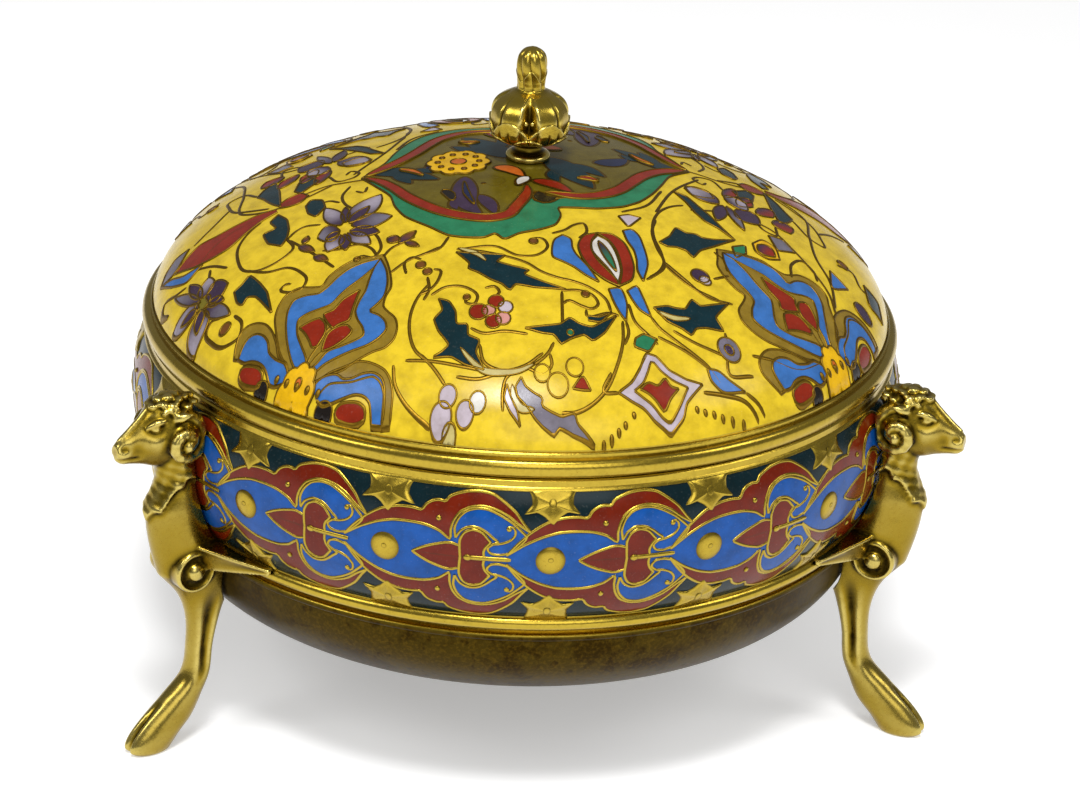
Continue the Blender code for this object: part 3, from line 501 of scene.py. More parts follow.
def on_lid(place, lift):
    """A plan point on the dome: radius R cos t, height H sin t to a power, and the lift along the normal."""
    x, y = place[..., 0], place[..., 1]
    radius = np.hypot(x, y) + 1e-6
    turn = np.arccos(np.clip(radius / DOME_R, 0, 0.9995))
    out = DOME_RISE * DOME_POWER * np.sin(turn) ** (DOME_POWER - 1) * np.cos(turn)
    up = DOME_R * np.sin(turn)
    size = np.hypot(out, up)
    ring = DOME_R * np.cos(turn) + lift * out / size
    height = DOME_FOOT + DOME_RISE * np.sin(turn) ** DOME_POWER + lift * up / size
    return world(ring * x / radius, ring * y / radius, height)


def band_radius(height):
    """The band's swell: a power of a parabola, less a taper that grows downwards."""
    share = np.clip((BAND_TOP - height) / BAND_HEIGHT, 0, 1)
    return SEAM_R + BAND_BULGE * (4 * share * (1 - share)) ** BAND_POWER - BAND_TAPER * share**2


def on_band(place, lift):
    """A point of the band: millimetres round from the front and height from the seam, lifted outwards."""
    angle = np.radians(place[..., 0] / BAND_DEGREE)
    height = SEAM + place[..., 1]
    radius = band_radius(height) + lift
    return world(radius * np.sin(angle), -radius * np.cos(angle), height)


# Meshes
def linked(name, data):
    """A new object in the scene."""
    obj = bpy.data.objects.new(name, data)
    bpy.context.scene.collection.objects.link(obj)
    return obj


def rework(mesh, change):
    """Makes a change to a mesh by way of a bmesh."""
    work = bmesh.new()
    work.from_mesh(mesh)
    change(work)
    work.to_mesh(mesh)
    work.free()


def merge(work):
    """Merges points that lie on each other and drops the faces that this leaves without area."""
    bmesh.ops.remove_doubles(work, verts=work.verts, dist=MERGE * MM)
    bmesh.ops.dissolve_degenerate(work, edges=work.edges, dist=MERGE * MM / 4)


def turn_outwards(work):
    """Turns the faces of closed shells outwards."""
    bmesh.ops.recalc_face_normals(work, faces=work.faces)


class Mesh:
    """Grids of points gathered into one piece, with a tint and an edge value at each point."""

    def __init__(self):
        self.points, self.faces, self.tints, self.edges, self.count = [], [], [], [], 0

    def grid(self, points, tint=BARE, edge=0.0, closed=False, inside=(0, 0, 0)):
        """Quads between neighbouring rows and columns, facing away from a point inside."""
        rows, wide = points.shape[:2]
        index = self.count + np.arange(rows * wide).reshape(rows, wide)
        if closed:
            index = np.concatenate([index, index[:, :1]], axis=1)
        corners = [index[:-1, :-1], index[:-1, 1:], index[1:, 1:], index[1:, :-1]]
        quads = np.stack(corners, axis=-1).reshape(-1, 4)
        flat = points.reshape(-1, 3)
        corner = flat[quads - self.count]
        across = np.cross(corner[:, 2] - corner[:, 0], corner[:, 3] - corner[:, 1])
        if (across * (corner.mean(1) - np.asarray(inside))).sum() < 0:
            quads = quads[:, ::-1]
        self.points.append(flat)
        self.faces.append(quads)
        self.tints.append(np.broadcast_to(np.asarray(tint, float), (rows, wide, 3)).reshape(-1, 3))
        self.edges.append(np.broadcast_to(np.asarray(edge, float), (rows, wide)).reshape(-1))
        self.count += len(flat)

    def build(self, name, sharp_degrees=None):
        """The gathered grids as one object at the origin, with doubles merged and poles closed."""
        points = (np.concatenate(self.points) * MM).astype(np.float32)
        faces = np.concatenate(self.faces).astype(np.int32)
        mesh = bpy.data.meshes.new(name)
        mesh.vertices.add(len(points))
        mesh.vertices.foreach_set("co", points.ravel())
        mesh.loops.add(faces.size)
        mesh.loops.foreach_set("vertex_index", faces.ravel())
        mesh.polygons.add(len(faces))
        mesh.polygons.foreach_set("loop_start", np.arange(0, faces.size, 4, dtype=np.int32))
        mesh.update(calc_edges=True)
        tint = mesh.attributes.new("tint", "FLOAT_COLOR", "POINT")
        colour = np.concatenate([np.concatenate(self.tints), np.ones((len(points), 1))], axis=1)
        tint.data.foreach_set("color", colour.astype(np.float32).ravel())
        edge = mesh.attributes.new("edge", "FLOAT", "POINT")
        edge.data.foreach_set("value", np.concatenate(self.edges).astype(np.float32))
        rework(mesh, merge)
        mesh.shade_smooth()
        if sharp_degrees:
            mesh.set_sharp_from_angle(angle=radians(sharp_degrees))
        return linked(name, mesh)


def outline(radius, squash=1.0, turn=0.0, lobes=0):
    """A round, oval or lobed outline about the origin."""
    angle = around(lobes * 6 if lobes else 24 if radius > 1.4 else 14)
    reach = radius * (1 + (0.13 * np.abs(np.cos(lobes * angle / 2)) - 0.06 if lobes else 0))
    return rotated(turn)(columns(reach * np.cos(angle), reach * squash * np.sin(angle)))


class Picture:
    """Enamel cells and gilt lines drawn on a surface. Places are in millimetres on its map."""

    def __init__(self, surface, wall, middle):
        self.surface, self.wall, self.middle = surface, wall, middle
        self.enamel, self.metal = Mesh(), Mesh()
        self.place = unmoved

    def lay(self, mesh, grid, lift, tint, edge, closed=False):
        """Adds a grid of places to a mesh, carried to the surface and lifted off it."""
        mesh.grid(self.surface(self.place(grid), lift), tint, edge, closed, self.middle)

    def cell(self, tint, left, right, layer=1, ease=EASE, wall=None):
        """Enamel between two edges that run the same way, with a gilt line round it."""
        left, right = curve(left, ease), curve(right, ease)
        count = max(len(left), len(right))
        left, right = curve(left, 0, count), curve(right, 0, count)
        width = np.linalg.norm(left - right, axis=1).max()
        rows = max(5, int(width / 1.3) + 3)
        share = (1 - np.cos(pi * np.linspace(0, 1, rows))) / 2
        grid = left[None] + (right - left)[None] * share[:, None, None]
        edge = np.zeros(grid.shape[:2])
        edge[[0, -1]] = 1
        edge[:, [0, -1]] = 1
        self.lay(self.enamel, grid, layer * LAYER, linear(TINTS[tint]), edge)
        self.line(np.vstack([left, right[::-1]]), layer, wall, 0, True)

    def line(self, points, layer=0, width=None, ease=EASE, closed=False):
        """A gilt line: a low wire with a rounded top, carried along the points."""
        width = self.wall if width is None else width
        if not width:
            return
        line = curve(points, ease) if not closed else np.asarray(points)
        across = np.array([-0.5, -0.4, 0.0, 0.4, 0.5])[:, None]
        rise = layer * LAYER + np.array([0, 0.08, 0.13, 0.08, 0])
        rise[[0, -1]] = -0.05
        size = np.full(len(line), width)
        if not closed:
            step = np.arange(len(line))
            size *= np.clip(np.minimum(step, step[::-1]) + 0.6, 0, 1)
        grid = line[None] + sideways(line)[None] * (across * size)[..., None]
        edge = np.array([1, 0.25, 0, 0.25, 1.0])[:, None]
        self.lay(self.metal, grid, rise[:, None], BARE, edge)

    def ribbon(self, tint, points, width, layer=1, wall=None):
        """Enamel along a line with round ends, as wide as the width says at each share of its length."""
        line = curve(points)
        share = np.linspace(0, 1, len(line))
        wide = np.interp(share, np.linspace(0, 1, np.size(width)), np.atleast_1d(width))
        wide = wide * np.sqrt(np.clip(np.sin(pi * share) * 3.2, 0, 1))
        side = sideways(line) * wide[:, None] / 2
        self.cell(tint, line + side, line - side, layer, 0, wall)

    def leaf(self, tint, lobes, layer=1):
        """Pointed lobes that share one gilt rim, because the metal under them is wider and lower."""
        levels = np.array([-1, -0.85, -0.4, 0, 0.4, 0.85, 1])[:, None]
        edge = (np.abs(levels) > 0.9) * 1.0
        for points, width in lobes:
            line = curve(points)
            shape = np.sin(pi * np.linspace(0, 1, len(line)) ** 0.8) ** 0.8
            half_length = hypot(*(line[0] - line[-1])) / 2 + 0.1
            for mesh, grow, lift, colour, dull in ((self.metal, WALL, 0.02, BARE, 0.6),
                                                   (self.enamel, 0.0, 0.06, linear(TINTS[tint]), 1.0)):
                tip = line + (line - line.mean(0)) * (grow / half_length)
                grid = tip[None] + sideways(line)[None] * (levels * (width / 2 * shape + grow))[..., None]
                self.lay(mesh, grid, layer * LAYER + lift, colour, edge * dull)

    def disc(self, tint, centre, radius, layer=2, squash=1.0, turn=0.0, lobes=0, wall=None):
        """A round, oval or lobed cell: rings of its outline, shrunk to its centre."""
        ring = outline(radius, squash, turn, lobes)
        grid = np.asarray(centre, float) + ring[None] * RINGS[..., None]
        self.lay(self.enamel, grid, layer * LAYER, linear(TINTS[tint]), (RINGS > 0.95) * 1.0, True)
        self.line(np.asarray(centre, float) + np.vstack([ring, ring[:2]]), layer, wall, 0, True)

    def boss(self, centre, radius, layer, crown, squash=1.0):
        """A gilt dome, raised to its crown and darker towards its foot as painted shade."""
        grid = np.asarray(centre, float) + outline(radius, squash)[None] * RINGS[..., None]
        lift = layer * LAYER + crown * np.sqrt(1 - 0.98 * RINGS**2)
        # Painted shade: the edge value darkens the dome towards its foot.
        self.lay(self.metal, grid, lift, BARE, 0.8 * RINGS**5, True)

    def petal(self, tint, foot, tip, width, layer=1):
        """A leaf-shaped cell, widest before its middle, whose tint comes in from a purple foot."""
        foot, tip = np.asarray(foot, float), np.asarray(tip, float)
        share = np.linspace(0, 1, 11)
        half = 0.72 * width * np.sin(pi * share**0.85) ** 0.8
        along = tip - foot
        across = np.array([-along[1], along[0]]) / np.linalg.norm(along)
        levels = np.linspace(-1, 1, 7)
        grid = foot + share[None, :, None] * along + (levels[:, None] * half)[..., None] * across
        edge = (np.abs(levels) > 0.9)[:, None]
        fade = step_up(share, 0.05, 0.75)[None, :, None] * (1 - 0.35 * levels[:, None, None] ** 2)
        colour = linear(TINTS["purple"]) * (1 - fade) + linear(TINTS[tint]) * fade
        self.lay(self.enamel, grid, layer * LAYER, colour, edge)
        self.line(np.vstack([grid[0], grid[-1, ::-1]]), layer, PETAL_WALL, 0, True)

    def scroll(self, points):
        """A stem that ends in a small gilt knob."""
        self.line(points)
        self.boss(points[-1], 0.62, 0, 0.25)


# The lid's picture
def medallion(pic):
    """A cloud of two lobes: green rim, red band and olive ground, alike after half a turn."""
    outer = pairs((-31, -6, -28, -11, -25, -16, -24, -20, -22, -24, -17, -28.6, -13.5, -31.5, -11, -32.2,
                   -7, -32.3, -5.3, -31.2, -3.6, -32.8, -1, -31, 3, -29.3, 5.5, -27.5, 6.5, -24,
                   6, -21.6, 8.5, -21, 13, -20.3, 18, -18, 21, -15, 23.5, -10.5, 25.5, -5, 27, 0,
                   31, 6))
    inner = pairs((-31, -6, -27.5, -9, -24.5, -13, -22, -17, -19, -20.5, -15.5, -23.5, -11.5, -25.5,
                   -5.8, -26.3, -3, -25, -1.6, -22, -0.4, -18.5, 2, -17.2, 5.6, -18.2, 9.3, -16.7,
                   13, -15.5, 17, -12, 19.5, -7.5, 21.5, -3.5, 24, 0, 31, 6))
    red_left = [(-30.4, -6.3), *inner[1:9], (-1.6, -22), (-0.4, -19), (0.2, -16.5), (0, -13.7)]
    red_right = [(3.5, -16.2), (9.3, -16.7), *inner[14:19], (30.2, 5.6)]
    pic.cell("olive", inner, -inner[::-1], 1, 0.6, 0)
    for half in (0, 180):
        pic.place = rotated(half)
        pic.cell("green", outer, inner, 1.5, 0.7)
        pic.ribbon("red", red_left, [1.6, 2.3, 2.3, 2.2], 3)
        pic.ribbon("red", red_right, [1.4, 2.5, 2.5, 2.0], 3)
        pic.leaf("teal", [([(-29, -4.6), (-24.5, -5.4), (-20, -8.6), (-16.5, -10.6)], 4.2),
                          ([(-25, -6), (-23, -9), (-21.5, -11.5)], 2.4),
                          ([(-22, -6.5), (-19.5, -6), (-17.8, -7.4)], 2.2)])
        pic.ribbon("orange", [(-24, -4.6), (-21.6, -6), (-19.4, -8.4)], [0.8, 1.3, 0.6], 3)
        pic.leaf("purple", [([(-11.5, -10.3), (-11.4, -15), (-10.6, -21.5), (-8, -25)], 4.6),
                            ([(-11, -18), (-13, -21.5), (-12.5, -23)], 2.4),
                            ([(-8.6, -18), (-6.5, -21.5), (-5.4, -24.8)], 2.6)])
        pic.ribbon("navy", [(-11.6, -12.5), (-11, -17), (-9.4, -21.5)], [0.5, 1.2, 0.5], 3)
        pic.ribbon("black", [(-15.4, -15.4), (-14, -17.6), (-13.4, -19.8)], [1.6, 2.0, 1.0], 2)
        pic.leaf("orange", [([(-6.2, -6), (-3.6, -6.6), (-0.6, -9.9)], 2.8)], 2)
        pic.leaf("red", [([(1.2, -11.6), (4.4, -12.4), (8.4, -15.2)], 2.6)], 2)
        # The white leaf between the orange and red leaves is a painted highlight, drawn in both halves.
        pic.leaf("white", [([(0.3, -10.4), (-0.9, -12), (-1.6, -13.8)], 1.9)], 3)
        pic.leaf("black", [([(2.2, -16.3), (3.2, -18.8), (5.6, -18)], 2.6)], 2)
        pic.leaf("teal", [([(3.6, 0.5), (7, -4.5), (12.4, -12.4)], 6.0),
                          ([(6, -3), (11, -3.8), (14.5, -6.4)], 3.2), ([(6.5, -5), (5, -9), (6, -11)], 2.8)])
        pic.leaf("navy", [([(12.6, 0.2), (16, 1.6), (19, 5.2)], 3.6)])
        pic.ribbon("red", [(9.4, -8.8), (11.4, -8.4), (13.4, -9.2)], [0.8, 1.6, 0.8], 3)
        pic.scroll([(-6.5, -9.5), (-4, -11.5), (-5.5, -14.2), (-8, -13)])
        pic.scroll([(9, -13.5), (12.5, -12.6), (15.6, -9.6), (15, -7), (13.2, -7.6)])
        pic.line([(-3, -4), (-1, -9), (1, -15)])
    pic.place = unmoved
    flower = np.array([-13, -3])
    pic.disc("gold", flower, 5.7, 2.5, lobes=10)
    for angle in around(10):
        pic.disc("brown", flower + (3.9 * cos(angle), 3.9 * sin(angle)), 0.55, 3.4, wall=0.16)
    pic.disc("orange", flower, 1.5, 3.2, wall=0.3)


def draw(pic, part):
    """One part of the lid's picture: its cells, petals, stems and round cells."""
    for tint, layer, left, right in LID_CELLS.get(part, ()):
        pic.cell(tint, pairs(left), pairs(right), layer, SPIKY_EASE if tint in SPIKY_TINTS else CELL_EASE)
    for tint, layer, foot, tip, width in LID_PETALS.get(part, ()):
        pic.petal(tint, foot, tip, width, layer)
    for path in LID_LINES.get(part, ()):
        pic.line(pairs(path), 0, STEM_WALL)
    for tint, centre, radius in LID_DISCS.get(part, ()):
        pic.disc(tint, centre, radius, 1, wall=0.35)


def paint_lid():
    """The dome's picture: medallion, four palmettes a quarter turn apart, and the sectors, twice round."""
    pic = Picture(on_lid, WALL, INSIDE_LID)
    medallion(pic)
    for quarter in range(4):
        pic.place = rotated(90 * quarter)
        draw(pic, "palmette")
        pic.disc("gold", (-39.2, -58.3), 3.5, 2.2, 1.15, -56, lobes=9, wall=0.3)
        pic.disc("orange", (-38.2, -57.0), 0.6, 3, wall=0.25)
        for step in range(-2, 3):
            angle = radians(-123.9 + 1.9 * step)
            pic.boss((69.0 * cos(angle), 69.0 * sin(angle)), 0.5, 2.4, 0.3)
        pic.disc("black", (-45.2, -54.0), 1.5, 1.3, 0.6, -36, wall=0.2)
        pic.disc("black", (-33.6, -61.9), 1.7, 1.3, 0.6, -24, wall=0.2)
    for half in (0, 180):
        pic.place = rotated(half)
        for part in ("left", "front", "right"):
            draw(pic, part)
        for path in LEAF_CURLS:
            pic.ribbon("pale_gold", pairs(path), [0.5, 1.1, 0.5], 1.6, 0.2)
        for centre in pairs(LID_BEADS):
            pic.boss(centre, 0.42, 0.4, 0.3)
    return pic


# The band's picture
def paint_band():
    """One repeat of red waves, blue almond, boss and lily, drawn all the way round."""
    pic = Picture(on_band, BAND_WALL, INSIDE_BOWL)
    for repeat in range(BAND_REPEATS):
        start = 360 / BAND_REPEATS * repeat - 1.5
        for upper in (True, False):
            pic.place = band_place(start, upper)
            band_half(pic)
        pic.place = band_place(start, True)
        band_middle(pic)
    return pic


def band_place(start, upper):
    """Degrees from a crossing and height from the seam, as places on the band; the lower half is mirrored."""

    def place(points):
        x, y = points[..., 0], points[..., 1]
        if not upper:
            y = BAND_MIDDLE - (y - BAND_MIDDLE) * BAND_STRETCH
        return np.stack([x + start * BAND_DEGREE, y], axis=-1)
    return place


def along_band(*flat):
    """Degrees and heights in turn, as places in millimetres on the band."""
    return pairs(flat) * (BAND_DEGREE, 1)


def band_half(pic):
    """The upper half: wave, crescent with its curl, half of the lily, and the gilt leaf on the frame."""
    wave_top = along_band(1.1, -13.6, 2.6, -11.2, 4.1, -9.3, 6.3, -7.4, 8.6, -6.5, 10.9, -6.4, 11.9, -6.6,
                          12.4, -5.5, 13.4, -4.7, 14.4, -4.5, 15.1, -4.7, 15.4, -3.9, 16.5, -3.2, 17.8, -2.7,
                          19.7, -2.5, 21.6, -2.9, 23.1, -4.1, 24.7, -5.8, 25.8, -7.7, 26.7, -9.1)
    wave_foot = along_band(1.1, -13.6, 3.4, -11.5, 5.7, -10.0, 8.0, -9.1, 10.3, -8.9, 12.6, -9.1, 14.5, -9.9,
                           16.0, -11.2, 16.0, -9.5, 16.3, -7.8, 17.1, -6.2, 18.5, -5.2, 20.2, -4.9,
                           21.9, -5.3, 23.6, -6.3, 25.1, -7.8, 26.7, -9.1)
    pic.cell("band_red", wave_top, wave_foot, 1, 0.7)
    back_top = np.vstack([along_band(14.8, -10.6), wave_foot[8:]])
    back_foot = along_band(15.6, -12.6, 18.5, -12.9, 21.4, -13.2, 24.0, -13.4, 26.0, -11.9, 26.9, -9.6)
    pic.cell("band_blue", back_top, back_foot, 0.35, 0.7, 0)
    crescent_top = along_band(16.7, -10.8, 16.5, -9.0, 17.0, -7.2, 18.0, -5.9, 19.5, -5.3, 20.9, -5.4,
                              22.5, -6.2, 24.2, -7.5, 25.6, -9.1, 26.2, -9.9, 25.2, -11.7, 23.9, -13.2)
    crescent_foot = along_band(16.7, -10.8, 17.3, -9.5, 18.5, -8.6, 20.0, -8.8, 21.1, -9.7, 21.9, -10.6,
                               22.5, -11.1, 21.6, -11.7, 21.0, -12.4, 21.4, -13.3, 22.4, -13.6, 23.9, -13.2)
    pic.cell("band_blue", crescent_top, crescent_foot, 1, 0.7)
    curl = along_band(21.6, -11.6, 23.0, -11.3, 24.1, -10.6, 24.7, -9.4, 24.4, -8.3, 23.8, -8.2)
    pic.line(curl, 1.2, 0.5)
    pic.boss(along_band(23.8, -8.6)[0], 0.5, 1, 0.3)
    pic.boss(along_band(14.3, -7.6)[0], 0.5, 1, 0.35)
    lobe_left = along_band(17.4, -14.45, 17.3, -13.0, 17.3, -11.1, 17.8, -9.8, 18.9, -9.1, 20.2, -9.5,
                           21.4, -11.2)
    lobe_right = along_band(20.7, -14.45, 20.5, -13.5, 20.7, -12.4, 21.0, -11.8, 21.3, -11.5, 21.4, -11.2)
    pic.cell("band_red", lobe_left, lobe_right, 1.1, 0.7)
    spear_top = along_band(11.0, -14.45, 12.4, -13.4, 14.2, -12.5, 16.1, -12.0, 17.2, -12.6, 17.6, -14.45)
    spear_foot = columns(spear_top[:, 0], np.full(len(spear_top), BAND_MIDDLE))
    pic.cell("band_red", spear_top, spear_foot, 1.1, 0.7, 0)
    pic.line(along_band(10.8, -14.45, 12.4, -13.3, 14.2, -12.4, 16.1, -11.9, 17.2, -12.3), 1)
    gilt_leaf(pic)


def gilt_leaf(pic):
    """A gilt leaf of five points on the frame: rays from its middle to its outline, with raised ribs."""
    rim = along_band(3.6, -1.8, 4.1, -2.9, 4.3, -4.2, 3.2, -6.0, 5.0, -5.7, 6.0, -6.4, 7.15, -7.9, 8.2, -6.4,
                     9.2, -5.6, 10.9, -5.9, 9.9, -4.2, 10.0, -2.9, 10.5, -1.8, 7.1, -1.6, 3.6, -1.8)
    rim = curve(rim, 0.2, 56)[:-1]
    middle = along_band(7.05, -4.0)[0]
    scale = np.array([0.02, 0.2, 0.45, 0.7, 0.9, 1.0])[:, None]
    grid = middle + (rim - middle)[None] * scale[..., None]
    rib = np.clip((np.linalg.norm(rim - middle, axis=1) - 2.2) / 2.5, 0, 1)[None]
    lift = 0.28 + 0.16 * (1 - scale) + 0.14 * rib * np.sin(pi * scale)
    lift = np.where(scale > 0.95, 0.0, lift)
    edge = np.where(scale > 0.95, 0.8, np.where(scale > 0.85, 0.0, 0.35 * (1 - rib)))
    pic.lay(pic.metal, grid, lift, BARE, edge, True)
    pic.boss(middle, 0.7, 4, 0.12, 1.3)


def band_middle(pic):
    """The blue almond with its domed boss, and the gilt bud and stem of the lily."""
    top = along_band(0.6, -14.45, 1.6, -13.4, 3.4, -11.8, 5.7, -10.3, 8.0, -9.4, 10.3, -9.2, 12.6, -9.4,
                     14.5, -10.2, 16.2, -11.4, 17.6, -12.8)
    foot = columns(top[:, 0], BAND_MIDDLE - (top[:, 1] - BAND_MIDDLE) * BAND_STRETCH)
    pic.cell("band_blue", top, foot, 0.7, 0.8, 0)
    top = along_band(18.0, -13.2, 20.8, -12.8, 22.4, -13.0, 24.0, -13.2, 25.0, -13.9)
    foot = columns(top[:, 0], 2 * BAND_MIDDLE - top[:, 1])
    pic.cell("band_blue", top, foot, 0.6, 0.8, 0)
    pic.boss(along_band(7.0, BAND_MIDDLE)[0], 2.6, 0.4, 0.52, 1.06)
    pic.boss(along_band(7.0, BAND_MIDDLE + 0.3)[0], 0.5, 4.4, 0.12)
    pic.boss(along_band(18.4, BAND_MIDDLE)[0], 0.75, 1.6, 0.3, 0.8)
    stem = along_band(18.4, BAND_MIDDLE, 20.4, BAND_MIDDLE, 22.4, BAND_MIDDLE, 24.2, BAND_MIDDLE)
    pic.line(stem, 1.8, 0.9)


# Turned pieces
def turned(name, profile, shaded_below=0.0):
    """A closed profile of radius and height carried round the axis, its metal darkened below a height as
    painted shade.
    """
    profile = np.vstack([profile, profile[:1]])
    angle = around(TURN_STEPS)
    radius, height = profile[:, :1], profile[:, 1:]
    points = xyz(radius * np.cos(angle), radius * np.sin(angle) + AXIS_Y, height)
    mesh = Mesh()
    # Painted shade: the edge value darkens the metal below the given height.
    mesh.grid(points, edge=step_up(shaded_below - points[..., 2], 0.0, 0.6), closed=True)
    work = mesh.build(name, SHARP_DEGREES)
    rework(work.data, turn_outwards)
    return work


def arc(count, start, end):
    """Even angles from start to end, given in degrees."""
    return np.radians(np.linspace(start, end, count))


def lid_profile():
    """Outer ring, fillet and dome, then the inside down to the locating lip."""
    turn = arc(15, -88, 88)
    half_ring = RING_HEIGHT / 2
    ring = columns(SEAM_R - 0.35 + 1.15 * np.cos(turn), LID_FOOT + half_ring + half_ring * np.sin(turn))
    fillet = [(DOME_R + 0.5, LID_FOOT + RING_HEIGHT), (DOME_R + 0.5, DOME_FOOT - 0.1),
              (DOME_R + 0.25, DOME_FOOT + 0.1)]
    turn = arc(60, 0, 90)
    rise = np.sin(turn) ** DOME_POWER
    sunk = 0.12
    dome = columns((DOME_R - sunk) * np.cos(turn), DOME_FOOT + (DOME_RISE - sunk) * rise)
    inside = columns((DOME_R - LID_WALL) * np.cos(turn), DOME_FOOT - 1 + (DOME_RISE - LID_WALL + 1) * rise)
    mouth = SEAM_R - BOWL_WALL - 0.4
    lip = [(mouth - 1.8, LID_FOOT), (mouth - 1.8, lid_low.z + 0.3), (mouth - 1.5, lid_low.z),
           (mouth - 0.3, lid_low.z), (mouth, lid_low.z + 0.3), (mouth, LID_FOOT - 0.15),
           (mouth + 0.3, LID_FOOT)]
    return np.vstack([ring, fillet, dome, inside[::-1], lip])


def underside(turn, width, height):
    """A point of the convex underside: each way a power of the cosine or sine."""
    return columns(BASE_R + width * np.cos(turn) ** UNDERSIDE_POWER,
                   UNDERSIDE_TOP - height * np.sin(turn) ** UNDERSIDE_POWER)


def bowl_profile():
    """Rim, band, bead, groove, thin bead and underside, then the inside back to the rim."""
    rim = [(SEAM_R - BOWL_WALL + 0.3, bowl_high.z), (SEAM_R - 0.3, bowl_high.z), (SEAM_R, bowl_high.z - 0.3),
           (SEAM_R, BAND_TOP + 0.5), (SEAM_R + 0.35, BAND_TOP + 0.2), (SEAM_R + 0.45, BAND_TOP - 0.1)]
    height = np.linspace(BAND_TOP - 0.3, BAND_FOOT + 0.3, 40)
    band = columns(band_radius(height) - 0.15, height)
    turn = arc(13, 86, -86)
    bead = columns(BAND_FOOT_R - 0.2 + 1.3 * np.cos(turn), BAND_FOOT - 1.3 + 1.3 * np.sin(turn))
    groove = [(BAND_FOOT_R - 1.2, BEAD_FOOT), (BAND_FOOT_R - 1.2, GROOVE_FOOT)]
    turn = arc(9, 80, -80)
    thin = columns(BAND_FOOT_R - 0.5 + 0.6 * np.cos(turn), GROOVE_FOOT - 0.7 + 0.7 * np.sin(turn))
    turn = arc(48, 0, 90)
    width = BAND_FOOT_R - 0.6 - BASE_R
    outer = underside(turn, width, UNDERSIDE_HEIGHT)
    foot = [(0.0, bowl_low.z), (0.0, bowl_low.z + BOWL_FLOOR)]
    inner = underside(turn, width - BOWL_WALL, UNDERSIDE_HEIGHT - BOWL_FLOOR)[::-1]
    height = np.linspace(BAND_FOOT, BAND_TOP, 24)
    inside = columns(np.minimum(band_radius(height) - BOWL_WALL, SEAM_R - BOWL_WALL + 2.2), height)
    last = [(SEAM_R - BOWL_WALL, BAND_TOP + 0.4), (SEAM_R - BOWL_WALL, bowl_high.z - 0.3)]
    return np.vstack([rim, band, bead, groove, thin, outer, foot, inner, inside, last])


def lid_ground():
    """The yellow field: a skin over the whole dome."""
    rings = np.sqrt(np.linspace(0.0002, 0.9985, 90))[:, None] * DOME_R
    rings[0] = 0.001
    angle = around(TURN_STEPS)
    places = np.stack([rings * np.cos(angle), rings * np.sin(angle)], axis=-1)
    mesh = Mesh()
    mesh.grid(on_lid(places, 0.0), linear(TINTS["yellow"]), 0.0, True, INSIDE_LID)
    return mesh.build("lid_ground")


def band_ground():
    """The dark field of the band."""
    height = np.linspace(-2.3, -27.7, 36)[:, None]
    round_way = np.degrees(around(TURN_STEPS * 2)) * BAND_DEGREE
    places = np.stack(np.broadcast_arrays(round_way, height), axis=-1)
    mesh = Mesh()
    mesh.grid(on_band(places, 0.02), linear(TINTS["band_teal"]), 0.0, True, INSIDE_BOWL)
    return mesh.build("band_ground")


def frame_lines(pic):
    """The gilt strips that close the band above and below."""
    pic.place = unmoved
    round_way = np.linspace(0, 360, TURN_STEPS * 2 + 1) * BAND_DEGREE
    for height in (-1.95, -27.9):
        pic.line(columns(round_way, np.full(len(round_way), height)), 1.2, 0.7, 0, True)


# Cast pieces: closed shells in one leg's own frame, x outwards, y across and z up, in millimetres
LEG_NODES = {"leg_front_right": -30.0, "leg_back": 90.0, "leg_front_left": 210.0}
ACROSS, UP = (0, 1, 0), (0, 0, 1)
NOSE_REACH = 14.7
HEAD_HALF = 4.3
HEAD_TOP = 2.1
CHEST_HALF = 4.5
CHEST_REACH = 7.8
SHANK_HALF = 2.8
HOOF_HALF = 3.1
FOOT_REACH = 13.3
SCROLL_R = 4.1
HORN_R = 4.4
HORN_THICKNESS = 3.2
WING_SPAN = 15.5
WING_HEIGHT = 6.2
WING_PROUD = 4.6
SEAT_GAP = 0.42
VOXEL = 0.25
FINIAL_R = 7.85                # no part of the finial is wider

# The leg's level rings: share of the height up to the scroll, then its back, front and half width
SHANK_ROWS = (
    (0.00, 4.2, FOOT_REACH - 1.2, HOOF_HALF * 0.80), (0.03, 3.4, FOOT_REACH, HOOF_HALF * 0.96),
    (0.08, 2.0, FOOT_REACH - 0.5, HOOF_HALF * 1.04), (0.16, -0.8, FOOT_REACH - 3.0, HOOF_HALF),
    (0.27, -2.8, FOOT_REACH - 7.8, HOOF_HALF * 0.94), (0.38, -4.4, 1.2, SHANK_HALF * 0.98),
    (0.55, -5.2, 0.0, SHANK_HALF * 0.96), (0.72, -7.0, 0.2, SHANK_HALF), (0.86, -9.2, 2.0, SHANK_HALF * 1.25),
    (1.00, -11.0, 6.0, CHEST_HALF * 1.06),
)
# The same from the scroll to the seam
CHEST_ROWS = (
    (0.00, -11.0, 6.0, CHEST_HALF * 1.06), (0.14, -8.0, CHEST_REACH - 0.6, CHEST_HALF * 1.08),
    (0.28, -5.0, CHEST_REACH + 0.2, CHEST_HALF), (0.40, -4.0, CHEST_REACH + 0.3, CHEST_HALF * 0.92),
    (0.50, -3.0, CHEST_REACH - 0.9, CHEST_HALF * 0.78), (0.60, -2.0, CHEST_REACH - 1.8, CHEST_HALF * 0.70),
    (0.76, -1.4, CHEST_REACH - 0.8, CHEST_HALF * 0.66),
)
